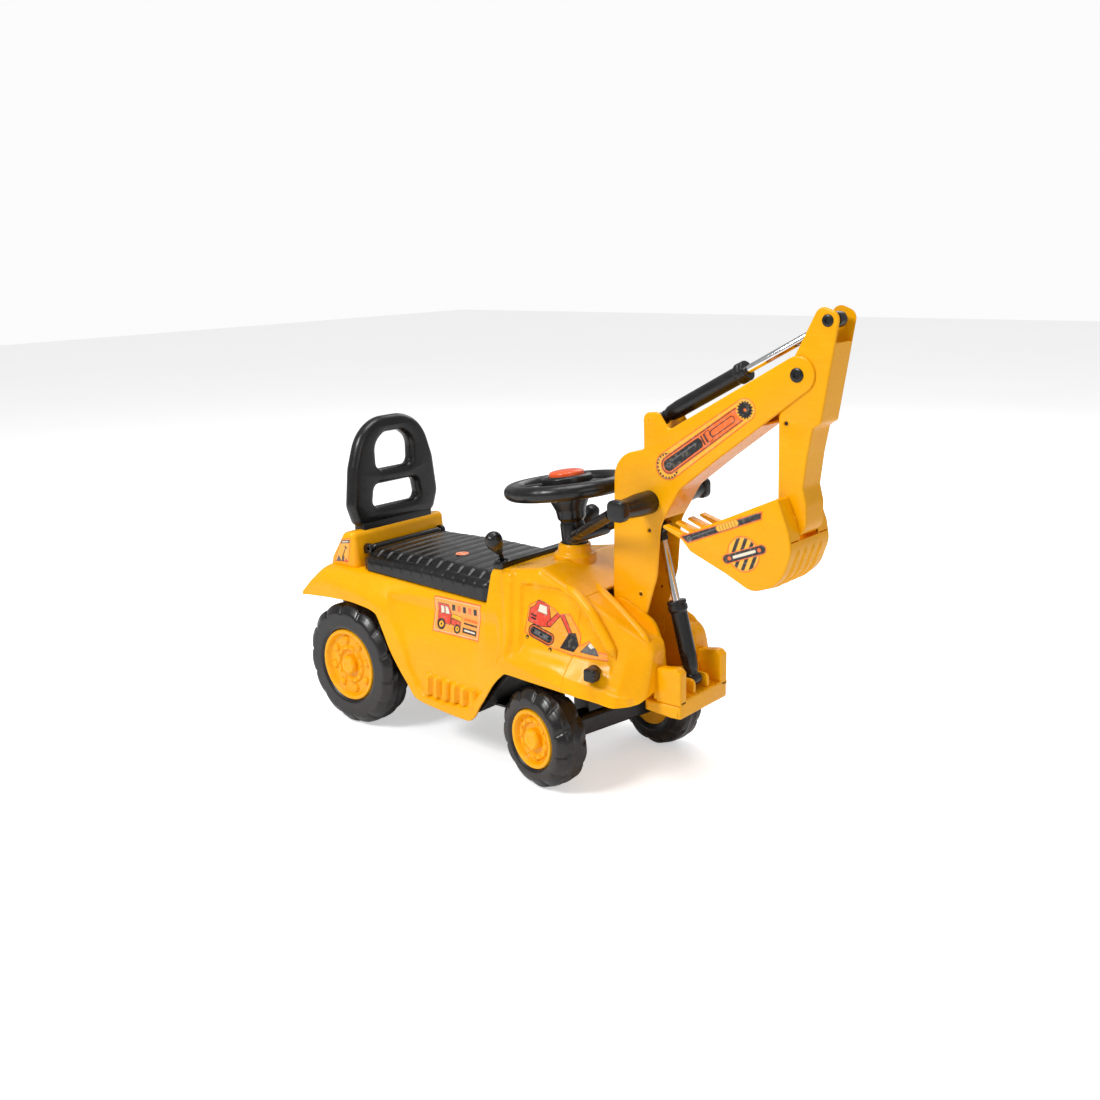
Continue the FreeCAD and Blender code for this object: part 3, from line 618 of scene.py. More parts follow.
# ---- body -----------------------------------------------------------------------------------------
@dataclass
class BodyShell:
    """Yellow one-piece body: fenders, seat deck, skirts, hood and cheeks beside the boom's slot."""

    wall: float = 3.0
    slot_half: float = 29.4
    slot_x: float = 402.0
    nose_x: float = 500.0
    step: float = 2.3
    soft: tuple[float, ...] = (0, 0, 9, 16, 30, 0)
    opening: tuple[float, float, float] = (28.0, 237.0, 69.0)
    rear_x: tuple[float, ...] = (-102, -94, -86, -72, -55, -30, 1, 40, 59, 72, 86, 102, 118, 136, 160, 236,
                                 246, 258)
    rear_low: tuple[float, ...] = (180, 181, 182, 183, 184.5, 186, 187, 184, 179, 158, 130, 107, 88, 68.5,
                                   64, 59,
                                   65, 84)
    hood_x: tuple[float, ...] = (258, 270, 283, 296, 308, 341, 402, 425, 450, 474, 500)
    hood_low: tuple[float, ...] = (84, 100, 119, 133, 141, 139.5, 137, 136, 133, 129, 132)

    def deck(self, x: Points) -> Points:
        """Height of the seat deck at x."""
        return 230.0 - 0.0298 * x

    def rear_nodes(self, x: Points) -> Points:
        """Half-section corners of the rear body at each x: (len(x), 6, 2) of y, z."""
        stations = np.array([-102.0, -86, -55, 1, 59, 136, 236, 258])
        top = np.array([190.0, 209, 230, self.deck(1.0), self.deck(59.0), self.deck(136.0), self.deck(236.0),
                        self.deck(258.0)])
        edge_y = np.array([99.0, 97, 92, 90, 90, 90, 90, 90])
        shoulder = np.array([(110, 189), (110, 206), (107, 226), (106, 224), (102, 222), (97, 212),
                             (97, 208), (100.5, 208)],
                            dtype=float)
        side = np.array([(117.5, 186), (117.5, 198), (117.5, 212), (117.5, 208), (116.5, 198), (112, 150),
                         (112, 140),
                         (110, 170)], dtype=float)
        rows = np.stack([np.stack([0 * top, top], -1), np.stack([0 * top + 69, top], -1),
                         np.stack([edge_y, top], -1), shoulder, side], axis=1)
        corners = along_stations(x, stations, rows)
        low = along_stations(x, np.array(self.rear_x, dtype=float), np.array(self.rear_low, dtype=float))
        corners[:, 4, 1] = np.maximum(corners[:, 4, 1], low + 4.0)
        return np.concatenate([corners, np.stack([0 * low + 118.0, low], -1)[:, None]], axis=1)

    def hood_nodes(self, x: Points) -> Points:
        """Half-section corners of the hood at each x: (len(x), 6, 2) of y, z."""
        stations = np.array([258.0, 308, 341, 425, 474, 500])
        rows = np.array([
            [(0, 268), (69, 267), (84, 266), (100.5, 208), (110, 170)],
            [(0, 275), (69, 274.5), (83, 274), (89, 256), (109, 176)],
            [(0, 281), (60, 280.5), (82, 280), (88, 262), (108, 172)],
            [(0, 238), (50, 236.5), (66, 236), (77, 224), (101, 166)],
            [(0, 212), (45, 211.5), (60, 211), (68, 199), (92, 156)],
            [(0, 198), (42, 197.5), (56, 197), (61, 188), (70, 152)]], dtype=float)
        corners = np.stack([np.stack([np.interp(x, stations, rows[:, k, c]) for c in (0, 1)], -1)
                            for k in range(5)], axis=1)
        edge_y = np.interp(x, [258.0, 308, 402, 425, 474, 500], [118.0, 118, 116, 114, 102, 78])
        low = along_stations(x, np.array(self.hood_x, dtype=float), np.array(self.hood_low, dtype=float))
        return np.concatenate([corners, np.stack([edge_y, low], -1)[:, None]], axis=1)

    def relief(self, x: Points, z: Points) -> Points:
        """How far the side stands out or in at (x, z): panel recesses, ribs, corner column, bands.

        Each feature is a smoothstep of a signed distance, times its height.
        """
        panel = polygon_distance(x, z, [(72, 216), (86, 187), (104, 154), (122, 109), (138, 86), (150, 76),
                                        (183, 73),
                                        (235, 77), (243, 86), (269, 115), (289, 157), (284, 190), (274, 216)])
        out = -5.0 * smoothstep(1.8, -1.8, panel) * smoothstep(214.0, 196.0, z)
        pitch, first, count = 17.0, 157.0, 6
        nearest = np.clip(np.round((x - first) / pitch), 0, count - 1) * pitch + first
        rib = np.hypot(x - nearest, z - np.clip(z, 82.0, 103.0 - (nearest - first) * 0.06))
        out += 7.0 * smoothstep(6.6, 3.2, rib)
        lean = np.interp(z, [186.0, 225.0, 268.0], [306.0, 298.0, 288.0])
        wide = np.interp(z, [186.0, 225.0, 268.0], [8.0, 10.0, 13.0])
        out += 5.6 * smoothstep(wide, wide - 6.0, np.abs(x - lean)) * smoothstep(160.0, 178.0, z)
        hood = polygon_distance(x, z, [(313, 257), (319, 217), (325, 178), (371, 173), (417, 169),
                                       (461, 165), (455, 178),
                                       (436, 202), (390, 246), (369, 257), (343, 258)])
        out -= 5.0 * smoothstep(1.6, -1.8, hood)
        fender = polygon_distance(x, z,
                                  [(302, 172), (311, 167), (344, 167), (375, 166), (408, 161), (438, 155),
                                         (465, 145), (486, 140), (500, 110), (250, 60), (262, 100),
                                         (290, 150)])
        flare = smoothstep(1.8, -1.8, fender) * smoothstep(262.0, 296.0, x)
        return out + 4.6 * flare

    def displaced(self, x: Points, sections: Points) -> Points:
        """Turn half sections into half-surface points with the side relief on them."""
        y, z = sections[..., 0], sections[..., 1]
        across = np.gradient(sections, axis=1)
        steep = np.abs(across[..., 1]) / np.maximum(np.linalg.norm(across, axis=-1), 1e-9)
        wide = np.broadcast_to(x[:, None], y.shape)
        side = smoothstep(0.55, 0.9, steep) * smoothstep(60.0, 80.0, y)
        return np.stack([wide, np.minimum(y + self.relief(wide, z) * side, 118.0), z], axis=-1)

    def side_y(self, x: Points, z: Points) -> Points:
        """Outer |y| of the side at (x, z), read off the sections.

        Args:
            x: (n,) places along.
            z: (n, m) heights at each place.

        Returns:
            (n, m) of y.
        """
        rear = rounded_sections(self.rear_nodes(x), self.soft, [2, 2, 12, 12, 60])
        hood = rounded_sections(self.hood_nodes(x), self.soft, [2, 2, 12, 30, 60])
        found = np.zeros(z.shape)
        for row, place_x in enumerate(x):
            section = (rear if place_x < 258.0 else hood)[row]
            found[row] = np.interp(z[row], section[::-1, 1], section[::-1, 0])
        return np.minimum(found + self.relief(np.broadcast_to(x[:, None], z.shape), z), 118.0)

    def shell(self) -> bpy.types.Object:
        """Rear body and hood up to the boom's slot, as one surface with a wall."""
        rear_x = np.unique(np.concatenate([np.linspace(-102, 258, int(360 / self.step)), self.opening[:2]]))
        hood_x = np.linspace(258.0, self.slot_x, int((self.slot_x - 258.0) / self.step))
        counts = [6, 8, 9, 14, 34]
        rear = self.displaced(rear_x, rounded_sections(self.rear_nodes(rear_x), self.soft, counts))
        hood = self.displaced(hood_x, rounded_sections(self.hood_nodes(hood_x), self.soft, counts))
        lip = rear[:1].copy()
        lip[..., 2] = np.minimum(lip[..., 2], 180.0)
        half = np.concatenate([lip, rear, hood])
        whole = np.concatenate([mirrored(half[:, :0:-1]), half], axis=1)
        centre_x = (whole[:-1, :-1, 0] + whole[1:, 1:, 0]) / 2
        centre_y = np.abs(whole[:-1, :-1, 1] + whole[1:, 1:, 1]) / 2
        first, last, wide = self.opening
        open_deck = (centre_x > first) & (centre_x < last) & (centre_y < wide)
        open_boss = (np.hypot(centre_x - 331.6, centre_y) < 22.0) & (whole[:-1, :-1, 2] > 240.0)
        draft = Draft("body_shell_looks")
        base = draft.add(whole)
        index = np.arange(whole.shape[0] * whole.shape[1]).reshape(whole.shape[:2]) + base
        step_row, low_side = len(rear_x), np.abs(np.arange(whole.shape[1]) - (half.shape[1] - 1)) >= 38
        index[step_row, low_side] = index[step_row + 1, low_side]
        quads = np.stack([index[:-1, :-1], index[1:, :-1], index[1:, 1:], index[:-1, 1:]], axis=-1)
        shared = np.zeros(open_deck.shape, dtype=bool)
        shared[step_row] = low_side[:-1] & low_side[1:]
        draft.quads.append(quads[~(open_deck | open_boss | shared)])
        return thicken(draft.build(sharp=50.0, outward=False), self.wall)

    def cheek(self, side: int) -> bpy.types.Object:
        """Hood cheek beside the boom's slot: a ring of section points carried along X, closed at both
        ends, drawn towards its middle by r(1 - cos a) over the last r of its length."""
        round_r = 9.0
        bends = np.linspace(0.0, math.pi / 2, 8)
        x = np.concatenate([np.linspace(self.slot_x, self.nose_x - round_r, 44)[:-1],
                            self.nose_x - round_r * (1 - np.sin(bends))])
        pull = np.concatenate([np.zeros(43), round_r * (1 - np.cos(bends))])
        nodes = self.hood_nodes(x)
        nodes[:, 0, 0] = self.slot_half
        nodes[:, 1, 0] = np.maximum(nodes[:, 1, 0], self.slot_half + 6)
        outer = self.displaced(x, rounded_sections(nodes, self.soft, [3, 8, 9, 14, 34]))
        inner_low = outer[:, -1:].copy()
        inner_low[..., 1] = self.slot_half
        inner_low[..., 2] = np.maximum(inner_low[..., 2], 141.0)
        ring = np.concatenate([outer, inner_low], axis=1)
        middle = np.stack([x, 0.5 * (ring[..., 1].min(1) + ring[..., 1].max(1)),
                           0.5 * (ring[..., 2].min(1) + ring[..., 2].max(1))], axis=-1)[:, None]
        away = ring - middle
        reach = np.abs(away[..., 1:]).max(axis=(1, 2))[:, None, None]
        ring = middle + away * np.where(np.arange(3) > 0, 1.0 - pull[:, None, None] / reach, 1.0)
        ring[..., 1] *= side
        draft = Draft(f"hood_cheek_{'left' if side > 0 else 'right'}").grid(ring, round_v=True)
        draft.flat([ring[0]]).flat([ring[-1]])
        return draft.build(sharp=50.0)

    def hump(self) -> bpy.types.Object:
        """Raised block behind the seat that holds the back frame."""
        outline = rounded_outline([(-66, 224), (-61, 240, 10), (-33, 279, 10), (-8, 284, 9), (-3, 224)], 6)
        return Draft("back_hump").slab(outline, -92, 92, 8, 8).build(sharp=50.0)

    def tower(self) -> bpy.types.Object:
        """Stepped boss round the steering column, turned about the upright axis."""
        profile = np.array([(33, 262), (30.5, 268), (28.6, 273), (28, 277), (28, 281), (27.4, 282.6),
                            (26.2, 283.6),
                            (24.4, 284.3), (23.2, 285.6), (22.6, 288), (21.6, 293), (20.9, 295.6),
                            (19.6, 296.8),
                            (18.2, 297), (17.6, 296.4), (17.5, 290), (17.5, 262)], dtype=float)
        draft = Draft("column_tower")
        draft.lathe(profile, np.array([331.6, 0.0, 0.0]), np.array([0.0, 0.0, 1.0]), 72)
        return draft.build(sharp=60.0, outward=False)

    def flute(self, name: str, path: list[tuple[float, float, float]], radius: float) -> bpy.types.Object:
        """Half-round bead sunk in the hood's slope, tapering into it at both ends."""
        line = resampled(np.array(path, dtype=float), 2.0)
        share = np.linspace(0.0, 1.0, len(line))
        size = radius * np.sqrt(np.clip(smoothstep(0.0, 0.16, share) * smoothstep(1.0, 0.88, share), 0.02,
                                        1.0))
        return Draft(name).sweep(line, size, 20).build(sharp=60.0)

    def lug(self, side: int) -> bpy.types.Object:
        """Hinge lug behind the seat lid."""
        outline = rounded_outline([(-8, 249, 1), (-8, 257, 5), (-1, 263.8, 4), (9, 263.8, 6), (11.6, 257, 5),
                                   (10, 250.5, 4), (5, 249, 1)], 10)
        name = f"lid_lug_{'left' if side > 0 else 'right'}"
        return Draft(name).slab(outline, min(side * 70, side * 76), max(side * 70, side * 76), 1, 1).build()

    def make(self) -> None:
        """Build and dress every piece of the body."""
        dress(self.shell(), "chassis", Finish.YELLOW, "body_shell")
        for side in (-1, 1):
            dress(self.cheek(side), "chassis", Finish.YELLOW)
            dress(self.lug(side), "chassis", Finish.BLACK)
            label = "left" if side > 0 else "right"
            inner = [(384, side * 24.0, 257), (404, side * 33.5, 247), (430, side * 38.0, 234.5),
                     (471, side * 47.0, 212.5), (492, side * 54.0, 199.5)]
            outer = [(374, side * 71.0, 262), (398, side * 74.0, 249.5), (418, side * 77.0, 235),
                     (443, side * 81.0, 207),
                     (461, side * 83.0, 184)]
            dress(self.flute(f"slot_bead_{label}", inner, 5.6), "chassis", Finish.YELLOW)
            dress(self.flute(f"hood_bead_{label}", outer, 6.6), "chassis", Finish.YELLOW)
        dress(self.hump(), "chassis", Finish.YELLOW)
        dress(self.tower(), "chassis", Finish.YELLOW)


@dataclass
class NosePlatform:
    """Yellow platform in front of the hood with the lower ram's lugs, and the skirt below it."""

    half: float = 53.0

    def make(self) -> None:
        """Build and dress the platform's pieces."""
        deck = Draft("nose_deck")
        deck.slab(rounded_outline([(500.5, 128), (536, 128), (536, 134, 2), (500.5, 134)]), -self.half,
                  self.half, 2, 2)
        wall = rounded_outline([(495, 130), (495, 171.5, 6), (512, 173, 10), (529, 176, 7), (536, 170, 4),
                                (536, 130)], 6)
        deck.slab(wall, 38, self.half, 3, 3).slab(wall, -self.half, -38, 3, 3)
        back = rounded_outline([(496, 132), (496, 158, 3), (503, 158, 3), (503, 132)])
        deck.slab(back, -40, 40, 1, 1)
        lug = rounded_outline([(507, 132), (507, 152, 7), (532, 152, 7), (532, 132)], 8)
        deck.slab(lug, 12.6, 17.4, 1, 1).slab(lug, -17.4, -12.6, 1, 1)
        dress(deck.build(), "chassis", Finish.YELLOW, "nose_platform")
        skirt = Draft("nose_skirt_looks")
        outline = rounded_outline([(482, 113, 3), (520, 110, 8), (536, 111, 3), (536, 128), (482, 128)], 8)
        skirt.slab(outline, -self.half, self.half, 4, 4)
        dress(skirt.build(), "chassis", Finish.YELLOW, "nose_skirt")


@dataclass
class BackFrame:
    """Black back frame of round section with two windows, and its tongue."""

    thick: float = 22.0

    def make(self) -> None:
        """Build and dress the frame."""
        outline = rounded_outline([(-76, 285, 14), (-87, 316, 26), (-80, 372, 60), (-56, 442, 62),
                                   (56, 442, 62),
                                   (80, 372, 60), (87, 316, 26), (76, 285, 14)], 5)
        low = rounded_outline([(-46, 310, 10), (-40, 343, 11), (40, 343, 11), (46, 310, 10)], 8)
        high = rounded_outline([(-34, 365, 11), (-35, 404, 24), (-15, 418, 16), (15, 418, 16), (35, 404, 24),
                                (34, 365, 11)], 6)
        frame_draft = Draft("back_frame")
        frame_draft.slab(outline, -self.thick / 2, self.thick / 2, 9.5, 9.5, (low, high))
        tongue = rounded_outline([(-70, 268, 4), (-70, 292), (70, 292), (70, 268, 4)], 10)
        frame_draft.slab(tongue, -10.5, 10.5, 4, 4)
        frame_draft.points = [np.stack([p[:, 1] - 21.0, p[:, 0], p[:, 2]],
                                       axis=-1) for p in frame_draft.points]
        dress(frame_draft.build(sharp=50), "chassis", Finish.BLACK, "backrest")


@dataclass
class Seat:
    """Black lid with lateral grooves over its top and down its sides, hinged at the back."""

    x0: float = 9.0
    x1: float = 256.0
    half: float = 92.0
    grooves: int = 10
    depth: float = 2.2

    def top(self, x: Points, y: Points) -> Points:
        """Height of the lid's top: a gentle crown that falls towards the sides and both ends."""
        crown = 260.5 - 1.2 * (np.abs(y) / 64.0) ** 2 - 17.0 * smoothstep(62.0, 95.0, np.abs(y)) ** 1.5
        return crown - 1.2 * np.cos((x - 9.0) / 247.0 * 2 * math.pi)

    def make(self) -> None:
        """Build and dress the lid, and its hinge bead with the block under it."""
        x = np.linspace(self.x0, self.x1, 330)
        side = np.linspace(0.0, 1.0, 34)
        flat_y = side * 80.0
        nodes_y, nodes_z = [], []
        half_y = np.minimum(self.half, 92.0) - 5.0 * smoothstep(22.0, self.x0,
                                                                x) - 3.0 * smoothstep(246.0, self.x1, x)
        flat = np.broadcast_to(flat_y[None], (len(x), 34)) * (half_y / self.half)[:, None]
        top = self.top(x[:, None], flat)
        turn = np.linspace(0.0, math.pi / 2, 12)[None]
        start_z, start_y = top[:, -1:], flat[:, -1:]
        bend_y = start_y + (half_y[:, None] - start_y) * np.sin(turn)
        bend_z = start_z - 11.0 * (1 - np.cos(turn))
        low = 230.4 - 0.0298 * x
        drop = bend_z[:, -1:] + (low[:, None] - bend_z[:, -1:]) * np.linspace(0.0, 1.0, 14)[None]
        nodes_y = np.concatenate([flat, bend_y[:, 1:], np.broadcast_to(half_y[:, None], (len(x), 13))],
                                 axis=1)
        nodes_z = np.concatenate([top, bend_z[:, 1:], drop[:, 1:]], axis=1)
        ends = smoothstep(self.x0, self.x0 + 9, x) * smoothstep(self.x1, self.x1 - 6, x)
        nodes_z = low[:, None] + (nodes_z - low[:, None]) * (0.84 + 0.16 * np.sqrt(ends))[:, None]
        pitch = (self.x1 - self.x0 - 44.0) / self.grooves
        phase = (x - self.x0 - 22.0) / pitch
        in_field = smoothstep(-0.7, -0.3, phase) * smoothstep(self.grooves + 0.7, self.grooves + 0.3, phase)
        groove = np.exp(-(((phase - np.round(phase)) * pitch) / 2.6) ** 2) * in_field
        reach = smoothstep(86.0, 78.0, nodes_y) + 0.55 * smoothstep(236.0, 242.0,
                                                                    nodes_z) * smoothstep(78.0, 86.0, nodes_y)
        nodes_z -= self.depth * groove[:, None] * smoothstep(86.0, 76.0, nodes_y)
        nodes_y -= 1.1 * groove[:, None] * np.minimum(reach, 1.0) * smoothstep(78.0, 88.0, nodes_y)
        half = np.stack([np.broadcast_to(x[:, None], nodes_y.shape), nodes_y, nodes_z], axis=-1)
        whole = np.concatenate([mirrored(half[:, :0:-1]), half], axis=1)
        back, front = whole[:1].copy(), whole[-1:].copy()
        back[..., 2], front[..., 2] = low[0], low[-1]
        draft = Draft("seat_lid_looks").grid(np.concatenate([back, whole, front]))
        lid = thicken(draft.build(sharp=50, outward=False), 2.6)
        dress(lid, "seat", Finish.BLACK, "seat_lid")
        bead = Draft("seat_hinge_bead")
        line = np.stack([np.full(40, 5.0), np.linspace(-68, 68, 40), np.full(40, 257.0)], axis=-1)
        size = 5.5 * np.sqrt(np.clip(1 - (np.abs(line[:, 1]) / 68.0) ** 40, 0.05, 1))
        bead.sweep(line, size, 24).slab(rounded_outline([(5, 250.5), (15, 250.5), (15, 257), (5, 257)]),
                                        -66, 66)
        dress(bead.build(), "seat", Finish.BLACK)


# ---- wheels ---------------------------------------------------------------------------------------
@dataclass
class Wheel:
    """Blow-moulded wheel: tyre with scalloped shoulder lugs, yellow hub with domed bosses, and cap."""

    label: str
    axle: str
    radius: float
    hub_radius: float
    centre: tuple[float, float, float]
    lugs: int
    side: int
    turn: float = 0.0
    width: float = 48.0

    def turned(self, points: Points) -> Points:
        """Turn points about the kingpin with the steered axle: a rotation about the upright line."""
        angle = math.radians(self.turn)
        x, y = points[..., 0] - 358.0, points[..., 1]
        out = np.array(points, dtype=float)
        out[..., 0] = 358.0 + x * math.cos(angle) - y * math.sin(angle)
        out[..., 1] = x * math.sin(angle) + y * math.cos(angle)
        return out

    def finish_draft(self, draft: Draft, finish: Finish, *nodes: str, sharp: float = 40.0) -> None:
        """Turn, build and dress one of the wheel's drafts."""
        if self.turn:
            draft.points = [self.turned(points) for points in draft.points]
        dress(draft.build(sharp=sharp), f"{self.axle}_wheel_{self.label}", finish, *nodes)

    def make(self) -> None:
        """Build and dress the tyre, hub and cap."""
        base = np.array(self.centre)
        axis = np.array([0.0, float(self.side), 0.0])
        half, r, hub = self.width / 2, self.radius, self.hub_radius
        name = f"{self.axle}_{{}}_{self.label}"
        profile = rounded_outline([(hub - 4, -half + 4), (hub + 4, -half, 3), (r - 12, -half, 9),
                                   (r - 1.5, -half + 8, 7),
                                   (r, 0, 60), (r - 1.5, half - 8, 7), (r - 12, half, 9), (hub + 4, half, 4),
                                   (hub - 1, half - 4, 2), (hub - 4, half - 8)], 7)
        line = resampled(np.concatenate([profile, profile[:1]]), 1.6)[:-1]
        sides = 360
        angle = np.linspace(0.0, 2 * math.pi, sides, endpoint=False)
        phase = (angle * self.lugs / (2 * math.pi)) % 1.0
        height = line[:, 1][:, None]
        lean = (phase[None] + 0.3 * np.sign(height) * np.abs(height) / half) % 1.0
        scallop = np.exp(-((np.minimum(lean, 1 - lean)) / 0.075) ** 2)
        lobe = 0.5 - 0.5 * np.cos(2 * math.pi * lean)
        shoulder = smoothstep(r - 24, r - 9, line[:, 0])[:, None] * smoothstep(4.0, 13.0, np.abs(height))
        middle = smoothstep(6.0, 2.0, np.abs(height)) * smoothstep(r - 6, r - 3, line[:, 0])[:, None]
        swell = -2.4 * scallop * shoulder - 1.0 * middle - 1.5 * (1.0 - lobe) * shoulder
        tyre = Draft(name.format("tyre") + "_looks")
        tyre.lathe(line, base, axis, sides, swell=swell)
        tyre.quads[-1] = np.concatenate([tyre.quads[-1], self.closing_row(len(line), sides)])
        self.finish_draft(tyre, Finish.TYRE, f"{self.axle}_tyre_{self.label}")
        self.make_hub(name, base, axis, half, hub)

    def closing_row(self, rows: int, sides: int) -> Points:
        """Quads that join the profile's last row to its first."""
        last, first = np.arange(sides) + (rows - 1) * sides, np.arange(sides)
        return np.stack([last, first, np.roll(first, -1), np.roll(last, -1)], axis=-1)

    def make_hub(self, name: str, base: Points, axis: Points, half: float, hub: float) -> None:
        """Hub dish with rim lip, ring of domed bosses and studs, and the central cap."""
        ring = hub - 6
        face = rounded_outline([(0.01, half - 9), (20, half - 9, 2), (22.5, half - 5, 2), (26.5, half - 5, 2),
                                (28.5, half - 8.5, 2), (ring - 3.5, half - 8.5, 3), (ring, half - 1.2, 2),
                                (hub - 1.6, half - 0.8, 1.6), (hub - 0.4, half - 4.5, 1),
                                (hub - 0.4, -half + 5, 1),
                                (ring, -half + 3, 3), (0.01, -half + 3)], 12)
        draft = Draft(name.format("hub") + "_looks")
        draft.lathe(face, base, axis, 120)
        reach, small = (ring - 3.5 + 28.5) / 2, (ring - 32) / 2 * 0.82
        helper = np.array([1.0, 0.0, 0.0])
        other = np.cross(axis, helper)
        dome_turns = np.linspace(0.0, math.pi / 2, 9)
        dome = np.stack([small * np.cos(dome_turns), 5.0 * np.sin(dome_turns)], axis=-1)
        dome = np.concatenate([[(small * 1.12, -1.0), (small * 1.02, 0.2)], dome])
        for i in range(8):
            turn = math.radians(45 * i + 12)
            spot = base + reach * (math.cos(turn) * helper + math.sin(turn) * other) + (half - 8.9) * axis
            draft.lathe(dome, spot, axis, 28)
        stud = np.array([(2.0, 0.0), (1.9, 1.2), (1.4, 1.8), (0.7, 2.1), (0.01, 2.2)])
        for i in range(12):
            turn = math.radians(30 * i + 5)
            spot = base + 24.5 * (math.cos(turn) * helper + math.sin(turn) * other) + (half - 5.2) * axis
            draft.lathe(stud, spot, axis, 12)
        self.finish_draft(draft, Finish.YELLOW, f"{self.axle}_hub_{self.label}", sharp=32)
        cap = Draft(name.format("cap") + "_looks")
        cap_line = rounded_outline([(0.01, half - 10), (13.6, half - 10), (13.6, half - 3, 2),
                                    (11.5, half + 0.4, 3),
                                    (5, half + 0.6, 2), (4, half - 0.4, 1), (0.01, half - 0.4)], 12)
        cap.lathe(cap_line, base, axis, 64)
        self.finish_draft(cap, Finish.YELLOW, f"{self.axle}_cap_{self.label}", sharp=32)


# ---- steering and levers --------------------------------------------------------------------------
@dataclass
class Steering:
    """Steering wheel with four spokes, horn button, bell and collar on the raked column."""

    top: tuple[float, float, float] = (319.5, 0.0, 390.0)
    rake: float = 7.0
    rest_turn: float = -9.74
    rim_r: float = 73.5
    tube: float = 11.5

    def on_column(self, points: Points) -> Points:
        """Carry points drawn about Z at the button's middle onto the raked column, turned to rest."""
        angle, lean = math.radians(self.rest_turn), math.radians(self.rake)
        x = points[..., 0] * math.cos(angle) - points[..., 1] * math.sin(angle)
        y = points[..., 0] * math.sin(angle) + points[..., 1] * math.cos(angle)
        z = points[..., 2]
        out = np.stack([x * math.cos(lean) - z * math.sin(lean), y,
                        x * math.sin(lean) + z * math.cos(lean)], axis=-1)
        return out + np.array(self.top)

    def finish_draft(self, draft: Draft, body: str, finish: Finish, *nodes: str, sharp: float = 45.0) -> None:
        """Carry a draft onto the column, build and dress it."""
        draft.points = [self.on_column(points) for points in draft.points]
        dress(draft.build(sharp=sharp), body, finish, *nodes)

    def make(self) -> None:
        """Build and dress the wheel, button, bell and shaft collar."""
        origin, up = np.zeros(3), np.array([0.0, 0.0, 1.0])
        wheel = Draft("steering_wheel_looks")
        around = np.linspace(0.0, 2 * math.pi, 200, endpoint=False)[:, None]
        tube = np.linspace(0.0, 2 * math.pi, 32, endpoint=False)[None]
        grip = 1.0 - 0.035 * np.cos(8 * around) ** 16 * np.cos(tube) ** 2
        reach = self.rim_r + self.tube * grip * np.cos(tube)
        rise = -19.0 + self.tube * 0.92 * grip * np.sin(tube)
        wheel.grid(np.stack([reach * np.cos(around), reach * np.sin(around), rise], axis=-1), True, True)
        pan = rounded_outline([(7, -30), (26, -30, 4), (34, -17, 4), (33.6, -6, 2.5), (29, -3.5, 2),
                               (25.4, -5, 1),
                               (24.6, -12), (7, -12)], 12)
        wheel.lathe(pan, origin, up, 96)
        wheel.quads.append(self.ring_close(len(pan), 96, wheel.count - len(pan) * 96))
        for turn in (35, 145, 215, 325):
            a = math.radians(turn)
            way, across = np.array([math.cos(a), math.sin(a), 0.0]), np.array([-math.sin(a), math.cos(a),
                                                                               0.0])
            share = np.linspace(0.0, 1.0, 24)[:, None]
            ring = np.linspace(0.0, 2 * math.pi, 28, endpoint=False)[None]
            wide = 9.6 + 4.5 * (2 * share - 1) ** 4
            spoke_y = wide * np.sign(np.cos(ring)) * np.abs(np.cos(ring)) ** 0.55
            spoke_z = -17.5 - 2.0 * share + 5.4 * np.sign(np.sin(ring)) * np.abs(np.sin(ring)) ** 0.55
            dip = -1.6 * np.exp(-(spoke_y / 4.2) ** 4) * (np.sin(ring) > 0) * smoothstep(0.12, 0.25, share) \
                * smoothstep(0.92, 0.8, share)
            along = 28.0 + (self.rim_r - 28.0) * share
            grid = along[..., None] * way + spoke_y[..., None] * across
            grid[..., 2] += spoke_z + dip
            wheel.grid(grid, round_v=True)
            wheel.fan(grid[0], grid[0].mean(0)).fan(grid[-1], grid[-1].mean(0))
        self.finish_draft(wheel, "steering", Finish.BLACK, "steering_wheel")
        button = Draft("horn_button_looks")
        dome = np.linspace(0.0, math.pi / 2, 14)
        domed = np.stack([23.4 * np.sin(dome) ** 0.9, -3.0 + 6.4 * np.cos(dome) ** 0.55], axis=-1)
        domed[0, 0] = 0.01
        line = np.concatenate([domed, [(23.4, -5.5), (22.8, -9.0), (0.01, -9.0)]])
        button.lathe(line, origin, up, 96)
        self.finish_draft(button, "horn", Finish.ORANGE, "horn_button")
        bell = Draft("column_bell_looks")
        profile = rounded_outline([(5.1, -29), (26.5, -29, 2), (25.5, -38, 9), (20, -50, 8), (18.5, -61, 3),
                                   (15, -65, 2), (16.4, -69, 2), (16.4, -104, 2), (5.1, -104)], 12)
        bell.lathe(profile, origin, up, 80)
        bell.quads.append(self.ring_close(len(profile), 80, 0))
        self.finish_draft(bell, "steering", Finish.BLACK, "column_bell")

    def ring_close(self, rows: int, sides: int, first: int) -> Points:
        """Quads that join a turned profile's last row to its first."""
        last, start = np.arange(sides) + first + (rows - 1) * sides, np.arange(sides) + first
        return np.stack([last, start, np.roll(start, -1), np.roll(last, -1)], axis=-1)


